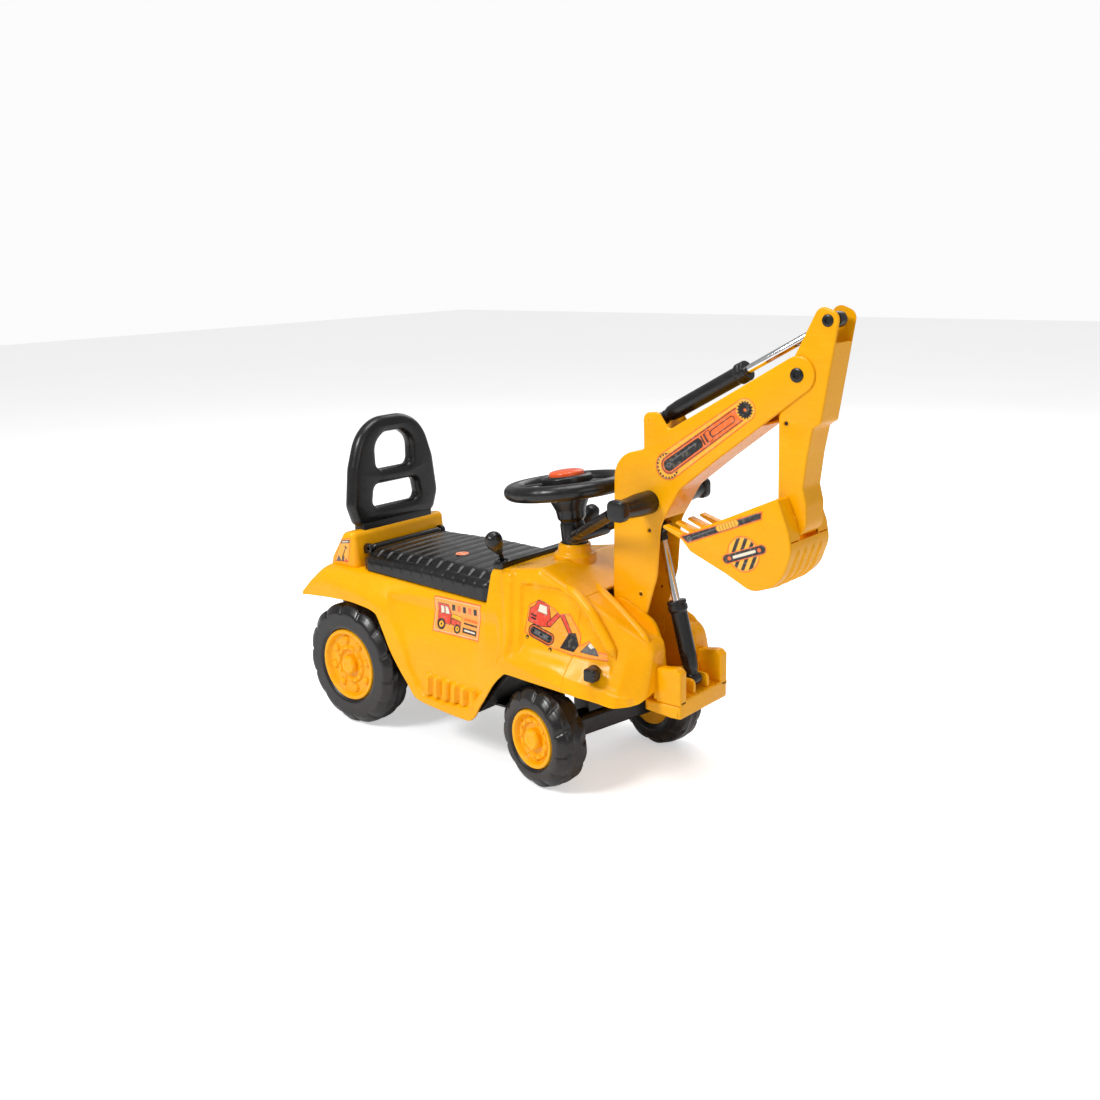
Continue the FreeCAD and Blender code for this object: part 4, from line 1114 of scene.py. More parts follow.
@dataclass
class GearLever:
    """Bent black stem on a ball with a pear-shaped knob."""

    side: int

    def make(self) -> None:
        """Build and dress the stem and knob."""
        label = "left" if self.side > 0 else "right"
        s = self.side
        stem = Draft(f"lever_stem_{label}_looks")
        path = np.array([(266, s * 71, 266), (266.1, s * 71.6, 272), (266.4, s * 72.7, 279),
                         (267.2, s * 74.6, 284.6),
                         (269.2, s * 78.8, 289.6), (274.5, s * 90, 301)], dtype=float)
        line = resampled(path, 1.2)
        size = 3.2 + 0.5 * np.exp(-((np.linspace(0, 1, len(line)) - 0.75) / 0.05) ** 2)
        stem.sweep(line, size, 20)
        turns = np.linspace(0.02, math.pi - 0.02, 16)
        ball = np.stack([6.0 * np.sin(turns), -6.0 * np.cos(turns)], axis=-1)
        stem.lathe(ball, np.array([266.0, s * 71.0, 268.0]), np.array([0.0, 0.0, 1.0]), 28)
        dress(stem.build(), f"gear_lever_{label}", Finish.BLACK, f"lever_stem_{label}")
        knob = Draft(f"lever_knob_{label}_looks")
        tip, knee = np.array([274.5, s * 90.0, 301.0]), np.array([266.5, s * 73.0, 283.0])
        profile = rounded_outline([(0.02, -13), (5.4, -13, 2), (6.8, -5, 8), (11.2, 8, 12), (11.6, 20, 9),
                                   (6, 28, 6),
                                   (0.02, 28.2)], 8)
        knob.lathe(profile, tip, tip - knee, 40)
        dress(knob.build(), f"gear_lever_{label}", Finish.BLACK, f"lever_knob_{label}")


@dataclass
class Fittings:
    """Black console strip, headlamps, grip bar with its blocks, and the fork under the wheel."""

    grip: tuple[float, float] = (470.5, 371.0)

    def console(self) -> None:
        """Strip along the hood's rear edge with raised rings round the lever sockets."""
        draft = Draft("lever_console_looks")
        strip = rounded_outline([(257.9, 267), (257.9, 275, 3), (275.8, 277.2, 3), (275.8, 267)], 10)
        draft.slab(strip, -82, 82, 2.5, 2.5)
        ring = np.array([(10.5, 276), (10.2, 277.6), (9.0, 278.2), (7.6, 277.8), (7.2, 276)], dtype=float)
        for s in (-1, 1):
            draft.lathe(ring, np.array([266.5, s * 71.5, 0.0]), np.array([0.0, 0.0, 1.0]), 40)
        dress(draft.build(), "chassis", Finish.BLACK, "lever_console")

    def headlamp(self, side: int) -> None:
        """Lamp box on a round boss, with a framed lens in front."""
        label = "left" if side > 0 else "right"
        draft = Draft(f"headlamp_{label}_looks")
        square = rounded_outline([(436, 159, 3), (452, 159, 3), (452, 175, 3), (436, 175, 3)], 10)
        low, high = sorted((side * 103.5, side * 116.5))
        draft.slab(square, low, high, 2, 2)
        boss = np.array([(0.02, 0), (9, 0), (9, 8), (8.2, 9), (0.02, 9.5)], dtype=float)
        draft.lathe(boss, np.array([437.5, side * 96.0, 166.0]), np.array([0.32, side * 0.95, 0.0]), 36)
        lens = rounded_outline([(0.02, -2), (6.4, -2), (6.4, 1.6, 0.8), (5.2, 1.6, 0.5), (4.9, 0.8),
                                (0.02, 1.4)], 10)
        draft.lathe(lens, np.array([452.0, side * 110.0, 167.0]), np.array([1.0, 0.0, 0.0]), 36)
        dress(draft.build(), "chassis", Finish.BLACK, f"headlamp_{label}")

    def grips(self) -> None:
        """Tapered bar through the boom, its end blocks and the fork back to the short barrel."""
        x, z = self.grip
        bar = Draft("grip_bar_looks")
        y = np.concatenate([np.linspace(-82, -30, 30), np.linspace(-28, 28, 16), np.linspace(30, 82, 30)])
        radius = 14.5 - 2.5 * smoothstep(40.0, 80.0,
                                         np.abs(y)) + 0.5 * np.exp(-((np.abs(y) - 31.0) / 1.2) ** 2)
        bar.sweep(np.stack([0 * y + x, y, 0 * y + z], axis=-1), np.minimum(radius, 14.5), 48)
        dress(bar.build(), "boom", Finish.BLACK, "grip_bar")
        for side, label in ((1, "left"), (-1, "right")):
            cap = Draft(f"grip_cap_{label}_looks")
            low, high = sorted((side * 80.0, side * 94.0))
            block = rounded_outline([(x - 13, z - 13, 8), (x + 13, z - 13, 8), (x + 13, z + 13, 8),
                                     (x - 13, z + 13, 8)])
            cap.slab(block, low, high, 3, 3)
            dress(cap.build(), "boom", Finish.BLACK, f"grip_cap_{label}")
        fork = Draft("u_handle_looks")
        ends = np.linspace(-38, 38, 40)
        size = 8.5 * np.sqrt(np.clip(1 - (np.abs(ends) / 38.0) ** 24, 0.2, 1))
        fork.sweep(np.stack([0 * ends + 357.5, ends, 0 * ends + 313], axis=-1), size, 32)
        for side in (-1, 1):
            path = np.array([(360.5, side * 33, 316), (458.5, side * 86, 365)], dtype=float)
            line = resampled(path, 3.0)
            share = np.linspace(0, 1, len(line))
            fork.sweep(line, 7.0 - 1.0 * np.exp(-((share - 0.2) / 0.03) ** 2), 28)
        dress(fork.build(), "boom", Finish.BLACK, "u_handle")

    def make(self) -> None:
        """Build and dress every fitting."""
        self.console()
        for side in (-1, 1):
            self.headlamp(side)
        self.grips()


# ---- arm ------------------------------------------------------------------------------------------
@dataclass
class HollowBeam:
    """Beam of two moulded halves: a side plate with rounded edges, and a rim wall down to the joint."""

    name: str
    outline: list[tuple[float, ...]]
    half: float
    open_zones: list[list[tuple[float, float]]]
    holes: list[tuple[float, float, float]]
    wall: float = 2.5

    def rim(self, draft: Draft, side: int) -> None:
        """Add the rim wall where it isn't opened: a four-cornered ring carried along each kept run."""
        loop = anticlockwise(rounded_outline(self.outline, 6))
        loop = resampled(np.concatenate([loop, loop[:1]]), 3.0)[:-1]
        inner = drawn_in(loop, self.wall)
        keep = np.ones(len(loop), dtype=bool)
        for zone in self.open_zones:
            keep &= polygon_distance(loop[:, 0], loop[:, 1], zone) > 0
        starts = np.flatnonzero(keep & ~np.roll(keep, 1))
        high = side * (self.half - self.wall - 0.2)
        runs = [np.arange(len(loop))] if not len(starts) else []
        for start in starts:
            length = int(np.argmin(np.roll(keep, -start)))
            if length > 1:
                runs.append((np.arange(length) + start) % len(loop))
        for run in runs:
            corners = [np.insert(loop[run], 1, 0.0, axis=1), np.insert(loop[run], 1, high, axis=1),
                       np.insert(inner[run], 1, high, axis=1), np.insert(inner[run], 1, 0.0, axis=1)]
            grid = np.stack(corners, axis=1)
            draft.grid(grid, round_v=True, round_u=not len(starts))
            if len(starts):
                draft.flat([grid[0]]).flat([grid[-1]])

    def make_half(self, side: int, body: str) -> None:
        """Build and dress one half."""
        label = "left" if side > 0 else "right"
        draft = Draft(f"{self.name}_{label}_looks")
        outline = rounded_outline(self.outline, 5)
        holes = tuple(circle_outline(*hole, 36) for hole in self.holes)
        inner, outer = side * (self.half - self.wall), side * self.half
        if side > 0:
            draft.slab(outline, inner, outer, 0, 2.2, holes)
        else:
            draft.slab(outline, outer, inner, 2.2, 0, holes)
        self.rim(draft, side)
        dress(draft.build(sharp=40), body, Finish.YELLOW, f"{self.name}_{label}")

    def screw_cup(self, x: float, z: float, side: int, body: str, radius: float = 3.0) -> None:
        """Sunken screw seen in its hole: a yellow rim and cup, and a black domed head."""
        label = f"{int(x)}_{'left' if side > 0 else 'right'}"
        spot, way = np.array([x, side * self.half, z]), np.array([0.0, float(side), 0.0])
        cup = np.array([(radius + 1.4, 0.0), (radius + 1.0, 0.35), (radius + 0.3, 0.45), (radius - 0.2, 0.1),
                        (radius - 0.4, -1.7), (radius * 0.5, -1.9)])
        draft = Draft(f"{self.name}_cup_{label}")
        draft.lathe(cup, spot, way, 32)
        dress(draft.build(outward=False), body, Finish.YELLOW)
        head = np.array([(radius * 0.72, -1.9), (radius * 0.7, -1.3), (radius * 0.45, -1.0), (0.02, -0.95)])
        draft = Draft(f"{self.name}_screw_{label}")
        draft.lathe(head, spot, way, 24)
        dress(draft.build(outward=False), body, Finish.BLACK)


@dataclass
class Arm:
    """Boom, stick, bucket and both rams."""

    boom_outline: tuple = ((416, 176, 23), (413, 257, 30), (417, 426, 36), (462, 434, 6), (461.5, 480, 9.5),
                           (484, 482, 8.5), (499, 461.8, 6), (675, 562.2, 20.8), (696.3, 529.2, 20.8),
                           (564.3, 430, 60), (514.5, 390.8, 30), (486, 343, 40), (481, 278.6, 40),
                           (461, 214, 30),
                           (462, 176, 20))
    stick_outline: tuple = ((691, 610, 11), (661.9, 553.5, 10), (644.7, 487, 12), (645.8, 393, 8),
                            (643, 352, 18.6),
                            (683, 352, 18.6), (681.5, 391, 6), (676.8, 409, 10), (681.3, 446.5, 4),
                            (687, 476.4, 3),
                            (696.4, 483, 3), (715.5, 600.5, 11))
    pivot: tuple[float, float] = (668.0, 534.3)
    ear: tuple[float, float] = (701.6, 593.2)
    bucket_pivot: tuple[float, float] = (663.0, 372.0)

    def boom(self) -> None:
        """Both boom halves and their screws."""
        zones = [[(600, 490), (636, 560), (720, 600), (720, 480), (640, 470)],
                 [(452, 352), (520, 352), (520, 150), (400, 150), (400, 250), (452, 250)],
                 [(455, 452), (455, 500), (540, 520), (510, 452)]]
        holes = [(470.0, 335.0, 2.6), (456.5, 251.5, 2.6)]
        beam = HollowBeam("boom", list(self.boom_outline), 24.0, zones, holes)
        for side in (-1, 1):
            beam.make_half(side, "boom")
            beam.screw_cup(470.0, 335.0, side, "boom")
            beam.screw_cup(456.5, 251.5, side, "boom")
            beam.screw_cup(472.5, 470.5, side, "boom", 3.0)

    def stick(self) -> None:
        """Both stick halves and their screws."""
        zones = [[(650, 566), (650, 640), (740, 640), (740, 574)],
                 [(600, 540), (600, 640), (700, 640), (676, 540)]]
        beam = HollowBeam("stick", list(self.stick_outline), 21.0, zones, [(654.4, 480.2, 2.6)])
        for side in (-1, 1):
            beam.make_half(side, "stick")
            beam.screw_cup(654.4, 480.2, side, "stick", 3.0)

    def bolt(self, name: str, spot: tuple[float, float], half: float, radius: float, body: str,
             node: str) -> None:
        """Domed bolt head with a socket on both sides of a pivot, and the bright shank between them."""
        draft = Draft(name)
        line = np.array([(radius, -0.4), (radius, 0.8), (radius - 0.6, 1.4), (radius * 0.6, 1.8),
                         (radius * 0.45, 1.8),
                         (radius * 0.42, 0.5), (0.02, 0.4)])
        for side in (-1, 1):
            draft.lathe(line, np.array([spot[0], side * half, spot[1]]), np.array([0.0, float(side), 0.0]),
                        36)
        dress(draft.build(outward=False), body, Finish.BLACK)
        self.shank(name.replace("heads", "shank"), spot, half, radius * 0.5, body, node)

    def shank(self, name: str, spot: tuple[float, float], half: float, radius: float, body: str,
              node: str) -> None:
        """Bright round pin across the arm."""
        line = np.array([(0.02, -half), (radius, -half), (radius, half), (0.02, half)])
        draft = Draft(name)
        draft.lathe(line, np.array([spot[0], 0.0, spot[1]]), np.array([0.0, 1.0, 0.0]), 28)
        dress(draft.build(), body, Finish.STEEL, node)

    def bucket(self) -> None:
        """Bucket: curved wall, side plates with rounded edges, lip bars, ribs, cheeks and teeth."""
        outer = [(527.5, 339.7), (543.7, 323.4, 2), (592.8, 303.8, 10), (628, 287, 26), (664, 300, 40),
                 (678, 340, 30),
                 (674, 362, 6), (659, 400, 3)]
        side_line = rounded_outline(outer, 5)
        draft = Draft("bucket_looks")
        for low, high, first, last in ((-45, -41.6, 2.0, 0.0), (41.6, 45, 0.0, 2.0)):
            draft.slab(side_line, low, high, first, last)
        loop = anticlockwise(side_line)
        start = int(np.argmin(np.hypot(loop[:, 0] - 527.5, loop[:, 1] - 339.7)))
        loop = resampled(np.roll(loop, -start, axis=0), 1.5)
        end = int(np.argmin(np.hypot(loop[:, 0] - 659, loop[:, 1] - 400)))
        path = loop[:end + 1]
        inner = drawn_in(np.concatenate([path, [(560.0, 420.0)]]), 3.0)[:-1]
        inner[0], inner[-1] = (530.5, 341.2), (656.0, 399.0)
        lower = path[:, 1] < 350.8
        lower |= path[:, 0] < 640
        for keep, low, high in ((lower, -42, 42), (~lower, 21.4, 42), (~lower, -42, -21.4)):
            run = np.flatnonzero(keep)
            corners = [np.insert(path[run], 1, low, axis=1), np.insert(path[run], 1, high, axis=1),
                       np.insert(inner[run], 1, high, axis=1), np.insert(inner[run], 1, low, axis=1)]
            grid = np.stack(corners, axis=1)
            draft.grid(grid, round_v=True).flat([grid[0]]).flat([grid[-1]])
        cheek = rounded_outline([(655, 350), (654, 378, 6), (661, 381, 5), (670, 377, 5), (675.5, 350),
                                 (670, 320),
                                 (645, 330)])
        draft.slab(cheek, 21.4, 24.4, 0.6, 0.6).slab(cheek, -24.4, -21.4, 0.6, 0.6)
        tooth = rounded_outline([(532, 336, 1), (504, 347.5, 1.5), (506, 350.5, 1), (533, 343, 1)], 20)
        for y in (-39.4, -13.1, 13.1, 39.4):
            draft.slab(tooth, y - 5.5, y + 5.5, 1.2, 1.2)
        for y in (-26.0, -8.7, 8.7, 26.0):
            line = path[(path[:, 0] > 628) & (path[:, 1] < 347)]
            share = np.linspace(0, 1, len(line))
            size = 4.6 * np.sqrt(np.clip(smoothstep(0, 0.15, share) * smoothstep(1, 0.85, share), 0.02, 1))
            centre = drawn_in(line, 2.6)[1:-1]
            draft.sweep(np.insert(centre, 1, y, axis=1), size[1:-1], 16)
        dress(draft.build(sharp=40), "bucket", Finish.YELLOW, "bucket")

    def ram(self, label: str, foot: tuple[float, float], top: tuple[float, float], barrel: float) -> None:
        """One ram: black barrel with a collar and eye, chrome rod with its own eye."""
        start, end = np.array([foot[0], 0.0, foot[1]]), np.array([top[0], 0.0, top[1]])
        along = (end - start) / np.linalg.norm(end - start)
        length = float(np.linalg.norm(end - start))
        body = Draft(f"{label}_barrel_looks")
        profile = rounded_outline([(0.02, 6), (7.5, 6, 1), (7.5, 11, 2), (9.4, 16, 3), (10.5, 30, 6),
                                   (10.5, barrel - 15, 2), (12.5, barrel - 12, 1.5),
                                   (12.5, barrel - 6.5, 0.8),
                                   (11.6, barrel - 5.8, 0.5), (11.6, barrel - 4.6, 0.5),
                                   (12.3, barrel - 4, 0.5),
                                   (12.3, barrel, 1.6), (5.4, barrel, 0.6), (5.2, barrel - 8),
                                   (0.02, barrel - 8)], 12)
        body.lathe(profile, start, along, 64)
        eye = rounded_outline([(3.1, -9), (8, -9, 1.5), (8, 9, 1.5), (3.1, 9)], 12)
        body.lathe(eye, start, np.array([0.0, 1.0, 0.0]), 40)
        dress(body.build(), f"{label}_outer", Finish.BLACK, f"{label}_barrel")
        rod = Draft(f"{label}_rod_looks")
        line = np.array([(0.02, barrel - 40), (5.0, barrel - 40), (5.0, length - 9), (4.6, length - 8.4),
                         (0.02, length - 8.4)])
        rod.lathe(line, start, along, 48)
        dress(rod.build(), f"{label}_inner", Finish.CHROME, f"{label}_rod")
        tip = Draft(f"{label}_rod_eye")
        ring = rounded_outline([(5.7, -7), (8.8, -7, 1.2), (8.8, 7, 1.2), (5.7, 7)], 12)
        ring_closed = np.concatenate([ring, ring[:1]])
        tip.lathe(ring_closed, end, np.array([0.0, 1.0, 0.0]), 40)
        neck = np.array([(0.02, length - 16), (6.4, length - 16), (6.8, length - 14), (6.4, length - 7.5),
                         (0.02, length - 7.5)])
        tip.lathe(neck, start, along, 40)
        dress(tip.build(), f"{label}_inner", Finish.BLACK)

    def make(self) -> None:
        """Build and dress the arm."""
        self.boom()
        self.stick()
        self.bucket()
        self.ram("ram_low", (519.5, 146.0), (470.0, 335.0), 102.0)
        self.ram("ram_up", (472.5, 470.5), self.ear, 136.0)
        self.bolt("stick_bolt_heads", self.pivot, 24.0, 8.0, "boom", "stick_pivot_pin")
        self.bolt("ear_bolt_heads", self.ear, 21.0, 6.6, "stick", "ram_up_top_pin")
        self.shank("ram_low_top_shank", (470.0, 335.0), 21.6, 3.0, "boom", "ram_low_top_pin")
        self.shank("ram_up_foot_shank", (472.5, 470.5), 21.6, 3.0, "boom", "ram_up_foot_pin")


# ---- stickers -------------------------------------------------------------------------------------
INK_BLACK, INK_DARK, INK_GREY = (0.006, 0.005, 0.006), (0.02, 0.017, 0.018), (0.11, 0.11, 0.12)
INK_ORANGE, INK_RED, INK_YELLOW, INK_PALE = (0.92, 0.16, 0.02), (0.78, 0.06, 0.03), (1.0, 0.47,
                                                                                     0.02), (0.85, 0.75, 0.6)


class Artwork:
    """Colours on a grid of places (a, b) in millimetres, painted shape by shape."""

    def __init__(self, a: Points, b: Points, ground: tuple[float, float, float]) -> None:
        """Start with one ground colour."""
        self.a, self.b = a, b
        self.ink = np.broadcast_to(np.array(ground), a.shape + (3,)).copy()

    def paint(self, distance: Points, colour: tuple[float, float, float], edge: float = 0.5) -> "Artwork":
        """Lay a colour where a signed distance is negative, fading over the edge's width."""
        cover = np.clip(0.5 - distance / edge, 0.0, 1.0)[..., None]
        self.ink = self.ink * (1 - cover) + np.array(colour) * cover
        return self

    def disc(self, a: float, b: float, radius: float, colour: tuple[float, float, float]) -> "Artwork":
        """Paint a round spot."""
        return self.paint(np.hypot(self.a - a, self.b - b) - radius, colour)

    def bar(self, start: tuple[float, float], end: tuple[float, float], radius: float,
            colour: tuple[float, float, float], end_radius: float | None = None) -> "Artwork":
        """Paint a round-ended bar."""
        return self.paint(capsule_distance(self.a, self.b, start, end, radius, end_radius), colour)

    def shape(self, corners: list[tuple[float, float]], colour: tuple[float, float, float],
              outline: tuple[float, float, float] | None = None, rim: float = 0.9) -> "Artwork":
        """Paint a polygon, with an outline when asked."""
        distance = polygon_distance(self.a, self.b, corners)
        if outline is not None:
            self.paint(distance - rim, outline)
        return self.paint(distance, colour)

    def gear(self, a: float, b: float, radius: float, teeth: int,
             colour: tuple[float, float, float]) -> "Artwork":
        """Paint a toothed wheel: a circle whose radius steps with the angle."""
        turn = np.arctan2(self.b - b, self.a - a)
        tooth = smoothstep(-0.35, 0.35, np.cos(turn * teeth)) * radius * 0.16
        return self.paint(np.hypot(self.a - a, self.b - b) - radius * 0.88 - tooth, colour)


def lay_sticker(name: str, body: str, points: Points, ink: Points, outside: Points, way: Points) -> None:
    """Make a sticker from a grid of points with their colours, without the cells outside its edge.

    Args:
        name: piece name.
        body: the CAD body it rides on.
        points: (nu, nv, 3) millimetres.
        ink: (nu, nv, 3) colours.
        outside: (nu, nv) signed distance to the sticker's edge.
        way: direction it faces.
    """
    index = np.arange(points.shape[0] * points.shape[1]).reshape(points.shape[:2])
    quads = np.stack([index[:-1, :-1], index[1:, :-1], index[1:, 1:], index[:-1, 1:]], axis=-1)
    cell = (outside[:-1, :-1] + outside[1:, 1:]) / 2
    quads = quads[cell < 0]
    used, order = np.unique(quads, return_inverse=True)
    quads = order.reshape(-1, 4)
    spots = place(points.reshape(-1, 3)[used])
    first = spots[quads[0]]
    if np.cross(first[1] - first[0], first[3] - first[0]) @ np.asarray(way, dtype=float) < 0:
        quads = quads[:, ::-1]
    mesh = bpy.data.meshes.new(name)
    mesh.from_pydata(spots.tolist(), [], quads.tolist())
    colours = np.concatenate([ink.reshape(-1, 3)[used], np.ones((len(used), 1))], axis=1)
    attribute = mesh.attributes.new("ink", "FLOAT_COLOR", "POINT")
    attribute.data.foreach_set("color", colours.astype(np.float32).ravel())
    mesh.shade_smooth()
    piece = bpy.data.objects.new(name, mesh)
    bpy.context.scene.collection.objects.link(piece)
    dress(thicken(piece, 0.12), body, Finish.FILM)


@dataclass
class Stickers:
    """Printed stickers with plain pictures and no lettering."""

    shell: BodyShell
    cell: float = 0.62
    lift: float = 0.3

    def grid(self, a0: float, a1: float, b0: float, b1: float) -> tuple[Points, Points]:
        """Places (a, b) a cell apart over a rectangle."""
        return np.meshgrid(np.arange(a0, a1 + self.cell, self.cell), np.arange(b0, b1 + self.cell, self.cell),
                           indexing="ij")

    def on_side(self, x: Points, z: Points, side: int) -> Points:
        """Lift (x, z) places onto the body's side."""
        y = self.shell.side_y(x[:, 0], z) + self.lift
        return np.stack([x, side * y, z], axis=-1)

    def truck(self, side: int, label: str) -> None:
        """Lorry picture on the skirt."""
        a, b = self.grid(0, 87, 0, 49)
        art = Artwork(a, b, (1.0, 0.36, 0.06))
        edge = np.maximum(np.abs(a - 43.5) - 43.5, np.abs(b - 24.5) - 24.5)
        art.paint(-(edge + 1.6), INK_ORANGE).paint(np.abs(edge + 2.6) - 0.25, INK_PALE)
        art.shape([(8, 14), (8, 40), (27, 40), (31, 28), (31, 14)], INK_RED, INK_DARK)
        art.shape([(12, 27), (12, 37), (18, 37), (18, 27)], INK_PALE, INK_DARK, 0.6)
        art.shape([(20.5, 27), (20.5, 37), (25, 37), (28, 27)], INK_PALE, INK_DARK, 0.6)
        art.shape([(33, 15), (33, 22), (50, 19), (50, 12)], INK_RED, INK_DARK)
        art.shape([(32, 24), (34, 28), (52, 26), (50, 21)], INK_YELLOW, INK_DARK, 0.6)
        for place_a, place_b, radius in ((15, 12, 7.6), (45, 10, 6.2)):
            art.disc(place_a, place_b, radius, INK_BLACK).disc(place_a, place_b, radius * 0.55, INK_YELLOW)
            art.disc(place_a, place_b, radius * 0.22, INK_DARK)
        for i in range(5):
            art.shape([(33 + 10 * i, 33), (34 + 10 * i, 42), (40 + 10 * i, 42), (39 + 10 * i, 33)],
                      INK_BLACK if i % 2 == 0 else INK_ORANGE)
        art.bar((57, 25), (80, 24), 1.7, INK_ORANGE).bar((57, 19.5), (80, 18.5), 1.2, INK_DARK)
        art.shape([(55, 7), (55, 14), (81, 13), (81, 6)], INK_BLACK).bar((59, 10.4), (77, 9.7), 1.1, INK_PALE)
        points = self.on_side(a + 159, b + 168, side)
        lay_sticker(f"skirt_sticker_{label}", "chassis", points, art.ink, edge, (0, side, 0))

    def digger(self, side: int, label: str) -> None:
        """Digger picture and ground strip on the hood's side."""
        a, b = self.grid(322, 452, 176, 243)
        back = np.minimum(polygon_distance(a, b, [(326, 205), (328, 232), (344, 241), (366, 232),
                                                  (374, 226), (388, 228),
                                                  (408, 205), (411, 184), (396, 180), (366, 186),
                                                  (340, 192), (326, 196)]),
                          polygon_distance(a, b, [(326, 197), (326, 202), (366, 192), (400, 186),
                                                  (420, 199), (434, 188),
                                                  (448, 186), (450, 178), (400, 179), (366, 184)]))
        art = Artwork(a, b, (1.0, 0.36, 0.02))
        art.paint(-(back + 1.2), INK_ORANGE)
        art.bar((340, 201), (364, 194), 8.2, INK_BLACK).bar((340, 201), (364, 194), 6.6, INK_ORANGE)
        art.bar((340, 201), (364, 194), 5.4, INK_DARK).bar((342, 200.4), (362, 194.6), 2.6, INK_GREY)
        for share in (0.0, 0.5, 1.0):
            art.disc(340 + 24 * share, 201 - 7 * share, 2.0, INK_BLACK)
        art.shape([(330, 212), (331, 228), (338, 232), (342, 239), (357, 236), (361, 224), (364, 209),
                   (350, 208)],
                  INK_RED, INK_BLACK)
        art.shape([(343, 226), (345, 235), (355, 233), (357, 223)], INK_PALE, INK_DARK, 0.6)
        art.bar((334, 217), (341, 215.5), 1.2, INK_BLACK).bar((334, 221), (341, 219.5), 1.2, INK_BLACK)
        art.bar((362, 212), (376, 228), 4.0, INK_BLACK, 3.2).bar((362, 212), (376, 228), 2.9, INK_RED, 2.2)
        art.bar((376, 228), (394, 203), 3.4, INK_BLACK, 2.6).bar((376, 228), (394, 203), 2.3, INK_RED, 1.6)
        art.disc(376, 228, 3.0, INK_ORANGE).disc(376, 228, 1.1, INK_BLACK)
        art.shape([(383, 186), (392, 204), (400, 205), (407, 192), (402, 184)], INK_DARK, INK_BLACK)
        art.shape([(412, 185), (424, 199), (436, 183)], INK_GREY, INK_DARK, 0.6)
        art.shape([(424, 199), (420, 193), (425, 190), (429, 192)], INK_PALE)
        points = self.on_side(a, b, side)
        lay_sticker(f"hood_sticker_{label}", "chassis", points, art.ink, back, (0, side, 0))
        spots = Draft(f"hood_marks_{label}")
        for mark_x in (331.0, 368.0):
            height = np.array([[191.5 if mark_x < 350 else 181.0]])
            y = float(self.shell.side_y(np.array([mark_x]), height)[0, 0])
            ring = np.array([(2.6, -0.2), (2.5, 0.35), (1.7, 0.4), (1.5, 0.0), (0.02, 0.0)])
            spots.lathe(ring, np.array([mark_x, side * y, height[0, 0]]), np.array([0.0, float(side), 0.1]),
                        20)
        dress(spots.build(outward=False), "chassis", Finish.BLACK)

    def piston(self, side: int, label: str) -> None:
        """Long sticker on the boom: a gear at each end and a ram between them."""
        a, b = self.grid(478, 620, 398, 509)
        start, end = (497.7, 418.2), (603.6, 492.3)
        outer = capsule_distance(a, b, start, end, 17.2, 13.4)
        keep = polygon_distance(a, b,
                                [(470, 395), (512, 395), (640, 486), (640, 520), (590, 520), (470, 440)])
        art = Artwork(a, b, INK_ORANGE)
        art.paint(outer + 1.2, INK_YELLOW).disc(*start, 15.8, INK_BLACK).gear(*start, 14.6, 20, INK_YELLOW)
        art.disc(*end, 12.6, INK_YELLOW)
        inner_start, inner_end = (499.5, 419.5), (594.0, 485.6)
        art.bar(inner_start, inner_end, 11.4, INK_ORANGE, 9.6).bar(inner_start, inner_end, 10.4, INK_BLACK,
                                                                   8.6)
        art.bar(inner_start, inner_end, 9.2, INK_ORANGE, 7.6)
        way = np.array(inner_end) - np.array(inner_start)
        along = lambda share, up: tuple(np.array(inner_start) + share * way + up * np.array([-0.573, 0.819]))
        art.bar(along(0.0, 0), along(0.44, 0), 7.4, INK_BLACK, 6.4).bar(along(0.06, 2.4), along(0.42, 2.0),
                                                                        0.8, INK_GREY)
        art.disc(*along(0.0, 0), 5.0, INK_DARK).disc(*along(0.0, 0), 3.2, INK_GREY).disc(*along(0.0, 0),
                                                                                         1.5, INK_BLACK)
        for share in (0.47, 0.51, 0.55):
            art.bar(along(share, -5.0), along(share, 5.0), 1.15, INK_BLACK)
        art.shape([along(0.57, -6), along(0.57, 6), along(0.62, 6), along(0.62, -6)], INK_ORANGE, INK_BLACK,
                  0.7)
        art.bar(along(0.65, 0), along(0.92, 0), 4.4, INK_BLACK).bar(along(0.66, 0), along(0.92, 0), 3.3,
                                                                    INK_ORANGE)
        art.disc(*end, 11.4, INK_YELLOW).gear(*end, 10.2, 16, INK_BLACK).disc(*end, 1.8, INK_ORANGE)
        edge = np.maximum(outer, keep)
        points = np.stack([a, np.full(a.shape, side * (24.0 + self.lift)), b], axis=-1)
        lay_sticker(f"boom_sticker_{label}", "boom", points, art.ink, edge, (0, side, 0))

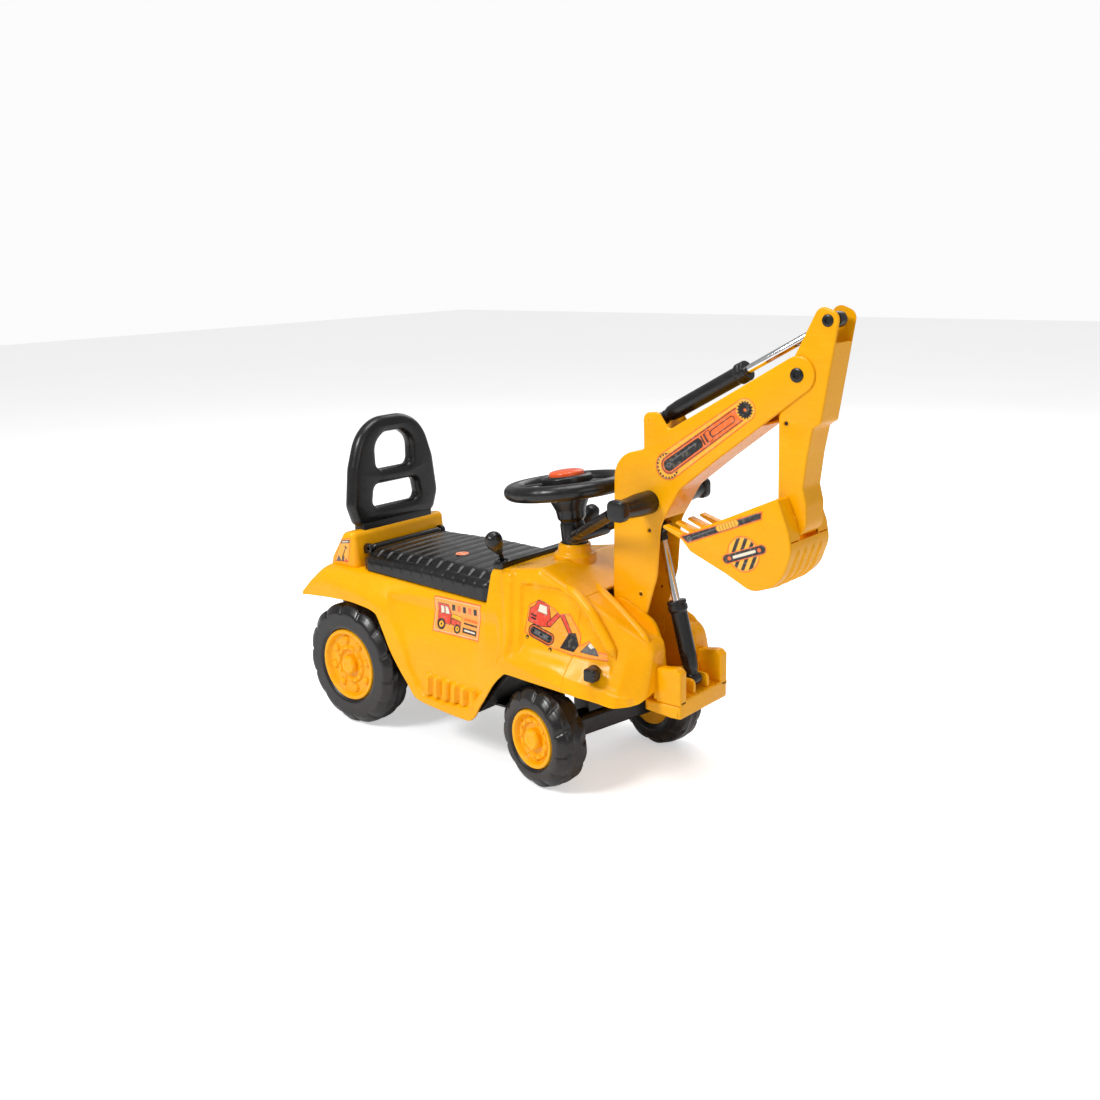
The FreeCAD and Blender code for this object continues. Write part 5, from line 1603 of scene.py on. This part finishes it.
    def bucket(self, side: int, label: str) -> None:
        """Lip strip with a small ram, and a round striped warning patch, on the bucket's side."""
        y = side * (45.0 + self.lift)
        a, b = self.grid(524, 645, 326, 390)
        strip = [(529.5, 340.5), (541, 333), (640, 374), (641, 384)]
        edge = polygon_distance(a, b, strip)
        art = Artwork(a, b, INK_ORANGE)
        art.paint(edge + 1.3, INK_BLACK).bar((548, 341.6), (580, 356), 0.7, INK_GREY)
        art.disc(543, 339, 3.4, INK_GREY).disc(543, 339, 1.5, INK_BLACK)
        art.bar((584, 357), (606, 366), 3.8, INK_YELLOW).bar((611, 370), (634, 380), 0.6, INK_GREY)
        for share in np.linspace(0.05, 0.95, 6):
            centre = (584 + 22 * share, 357 + 9 * share)
            art.bar((centre[0] + 1.2, centre[1] - 3), (centre[0] - 1.2, centre[1] + 3), 0.35, INK_DARK)
        points = np.stack([a, np.full(a.shape, y), b], axis=-1)
        lay_sticker(f"bucket_strip_{label}", "bucket", points, art.ink, edge, (0, side, 0))
        a, b = self.grid(584, 652, 303, 358)
        centre = (617.0, 331.0)
        disc = np.hypot(a - centre[0], b - centre[1]) - 21.0
        band = capsule_distance(a, b, (595.0, 322.0), (641.0, 340.0), 5.8)
        edge = np.minimum(disc, band)
        inside = polygon_distance(a, b,
                                  [(544, 325), (593, 305.8), (628, 291), (668, 303), (674, 340), (668, 364),
                                         (650, 398), (530, 340)])
        edge = np.maximum(edge, inside)
        art = Artwork(a, b, INK_ORANGE)
        art.paint(disc + 1.2, INK_YELLOW)
        stripe = np.abs(((a - centre[0]) * 0.94 - (b - centre[1]) * 0.34 + 100.0) % 9.2 - 4.6) - 2.2
        art.paint(np.maximum(stripe, disc + 1.8), INK_BLACK)
        art.paint(band, INK_ORANGE).paint(band + 1.0, INK_BLACK)
        art.disc(598.5, 323.4, 2.4, INK_ORANGE).disc(637.5, 338.6, 2.4, INK_ORANGE)
        art.bar((604.5, 325.7), (631.5, 336.3), 1.7, INK_PALE)
        points = np.stack([a, np.full(a.shape, y), b], axis=-1)
        lay_sticker(f"bucket_patch_{label}", "bucket", points, art.ink, edge, (0, side, 0))

    def hump(self, side: int, label: str) -> None:
        """Small sticker on the hump's side: a dark strip over a shovel and a heap."""
        a, b = self.grid(-56, -8, 232, 275)
        edge = polygon_distance(a, b, [(-53, 234), (-35, 269), (-14, 273), (-22, 236)])
        art = Artwork(a, b, (1.0, 0.42, 0.03))
        art.paint(-(edge + 1.0), INK_ORANGE)
        art.shape([(-37, 262), (-34.5, 267), (-16, 270.5), (-17, 265.5)],
                  INK_BLACK).bar((-33, 265), (-20, 267.3), 0.8, INK_PALE)
        art.bar((-26, 258), (-34, 243), 0.9,
                INK_BLACK).shape([(-37, 236), (-35, 245), (-30, 243), (-32, 236)], INK_BLACK)
        art.bar((-28, 259), (-23.5, 257), 1.0, INK_BLACK)
        art.shape([(-48, 235), (-43, 243), (-38, 236)], INK_GREY, INK_DARK, 0.6)
        art.shape([(-31, 235), (-27, 241), (-23, 236)], INK_RED, INK_DARK, 0.5)
        points = np.stack([a, np.full(a.shape, side * (92.0 + self.lift)), b], axis=-1)
        lay_sticker(f"hump_sticker_{label}", "chassis", points, art.ink, edge, (0, side, 0))

    def seat_spot(self, seat: Seat) -> None:
        """Round orange spot on the seat."""
        a, b = self.grid(140, 162, -41, -19)
        disc = np.hypot(a - 151.0, b + 30.0) - 9.5
        art = Artwork(a, b, INK_ORANGE)
        art.paint(np.abs(disc + 1.6) - 0.35, INK_PALE).bar((146, -30), (156, -30), 0.9, INK_PALE)
        points = np.stack([a, b, seat.top(a, b) + 0.15], axis=-1)
        lay_sticker("seat_spot", "seat", points, art.ink, disc, (0, 0, 1))

    def make(self, seat: Seat) -> None:
        """Lay every sticker, the same on both sides."""
        for side, label in ((-1, "right"), (1, "left")):
            self.truck(side, label)
            self.digger(side, label)
            self.piston(side, label)
            self.bucket(side, label)
            self.hump(side, label)
        self.seat_spot(seat)


# ---- studio ---------------------------------------------------------------------------------------
@dataclass
class Studio:
    """Pale floor, soft lights and the camera."""

    lens: float = 39.725
    camera_place: tuple[float, float, float] = (1.018010, -1.203524, 0.675929)
    yaw: float = 2.28134327
    pitch: float = -0.244605847
    roll: float = -0.0254822275
    lights: tuple = (
        ("key", (-0.6, -2.1, 2.1), 0.8, 47.0), ("fill", (2.6, -0.8, 1.2), 1.3, 7.0),
        ("back", (-0.8, 2.4, 2.0), 1.6, 16.0), ("sky", (0.0, 0.0, 3.0), 1.6, 40.0))

    def camera(self) -> None:
        """Place the camera: its axes are the yawed, pitched and rolled right, up and back vectors."""
        cy, sy, cp, sp = math.cos(self.yaw), math.sin(self.yaw), math.cos(self.pitch), math.sin(self.pitch)
        ahead, level = np.array([cp * cy, cp * sy, sp]), np.array([sy, -cy, 0.0])
        up = np.cross(level, ahead)
        right = math.cos(self.roll) * level + math.sin(self.roll) * up
        top = -math.sin(self.roll) * level + math.cos(self.roll) * up
        matrix = Matrix.Identity(4)
        for column, vector in enumerate((right, top, -ahead, np.array(self.camera_place))):
            for row in range(3):
                matrix[row][column] = float(vector[row])
        data = bpy.data.cameras.new("studio_camera")
        data.lens, data.sensor_width = self.lens, 36.0
        camera = bpy.data.objects.new("studio_camera", data)
        camera.matrix_world = matrix
        bpy.context.scene.collection.objects.link(camera)
        bpy.context.scene.camera = camera

    def floor(self) -> None:
        """Wide pale floor with a barely mottled finish."""
        reach = np.linspace(-9.0, 9.0, 9)
        x, y = np.meshgrid(reach, reach, indexing="ij")
        mesh = bpy.data.meshes.new("studio_floor")
        index = np.arange(81).reshape(9, 9)
        quads = np.stack([index[:-1, :-1], index[1:, :-1], index[1:, 1:], index[:-1, 1:]],
                         axis=-1).reshape(-1, 4)
        mesh.from_pydata(np.stack([x, y, 0 * x], axis=-1).reshape(-1, 3).tolist(), [], quads.tolist())
        floor = bpy.data.objects.new("studio_floor", mesh)
        bpy.context.scene.collection.objects.link(floor)
        sketch = NodeSketch("studio_paper")
        tone = sketch.spread(sketch.noise(3.0), 0.0, 1.0)
        paper = sketch.mix(tone, (0.93, 0.93, 0.94), (0.96, 0.96, 0.96))
        sketch.feed(Base_Color=paper, Roughness=0.75, Emission_Color=(1.0, 1.0, 1.0, 1.0))
        rays = sketch.tree.nodes.new("ShaderNodeLightPath")
        glow = sketch.tree.nodes.new("ShaderNodeMath")
        glow.operation, glow.inputs[1].default_value = "MULTIPLY", 0.5
        sketch.tree.links.new(rays.outputs["Is Camera Ray"], glow.inputs[0])
        sketch.feed(Emission_Strength=glow.outputs[0])
        mesh.materials.append(sketch.material)

    def light(self) -> None:
        """Large square area lights that face the toy, and a pale surround."""
        target = Vector((0.0, 0.0, 0.25))
        for name, spot, size, power in self.lights:
            data = bpy.data.lights.new(name, "AREA")
            data.size, data.energy = size, power
            lamp = bpy.data.objects.new(name, data)
            lamp.location = spot
            lamp.rotation_mode = "QUATERNION"
            lamp.rotation_quaternion = (target - Vector(spot)).to_track_quat("-Z", "Y")
            bpy.context.scene.collection.objects.link(lamp)
        world = bpy.data.worlds.new("studio_surround")
        world.use_nodes = True
        surround = world.node_tree.nodes["Background"]
        surround.inputs["Color"].default_value = (1.0, 1.0, 1.0, 1.0)
        surround.inputs["Strength"].default_value = 0.38
        seen = world.node_tree.nodes.new("ShaderNodeBackground")
        rays = world.node_tree.nodes.new("ShaderNodeLightPath")
        either = world.node_tree.nodes.new("ShaderNodeMixShader")
        world.node_tree.links.new(rays.outputs["Is Camera Ray"], either.inputs[0])
        world.node_tree.links.new(surround.outputs[0], either.inputs[1])
        world.node_tree.links.new(seen.outputs[0], either.inputs[2])
        seen.inputs["Color"].default_value = (0.97, 0.97, 0.97, 1.0)
        world.node_tree.links.new(either.outputs[0], world.node_tree.nodes["World Output"].inputs["Surface"])
        bpy.context.scene.world = world
        bpy.context.scene.view_settings.view_transform = "Standard"

    def make(self) -> None:
        """Set up the studio."""
        self.camera()
        self.floor()
        self.light()


def dress_frame_nodes() -> None:
    """Give every carried-over CAD node the finish of its material slot."""
    for name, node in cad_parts.items():
        for slot in node.material_slots:
            label = slot.material.name.split(".")[0] if slot.material else Finish.BLACK.value
            known = {finish.value: finish for finish in Finish}
            slot.material = finish_of(known.get(label, Finish.BLACK))
        LOG.info("frame node %s: %d slots", name, len(node.material_slots))


def main() -> None:
    """Build the studio and every sub-assembly in order."""
    logging.basicConfig(level=logging.INFO, format="%(name)s: %(message)s")
    Studio().make()
    dress_frame_nodes()
    shell, seat = BodyShell(), Seat()
    assemblies: list = [shell, NosePlatform(), BackFrame(), seat, Steering(), GearLever(1), GearLever(-1),
                        Fittings(),
                        Arm()]
    for side, label in ((1, "left"), (-1, "right")):
        assemblies.append(Wheel(label, "rear", 91.2, 53.5, (0.0, side * 102.0, 91.2), 14, side))
        assemblies.append(Wheel(label, "front", 66.8, 39.9, (380.0, side * 104.4, 66.8), 12, side, -9.74))
    for assembly in assemblies:
        assembly.make()
    Stickers(shell).make(seat)


if __name__ == "__main__":
    main()
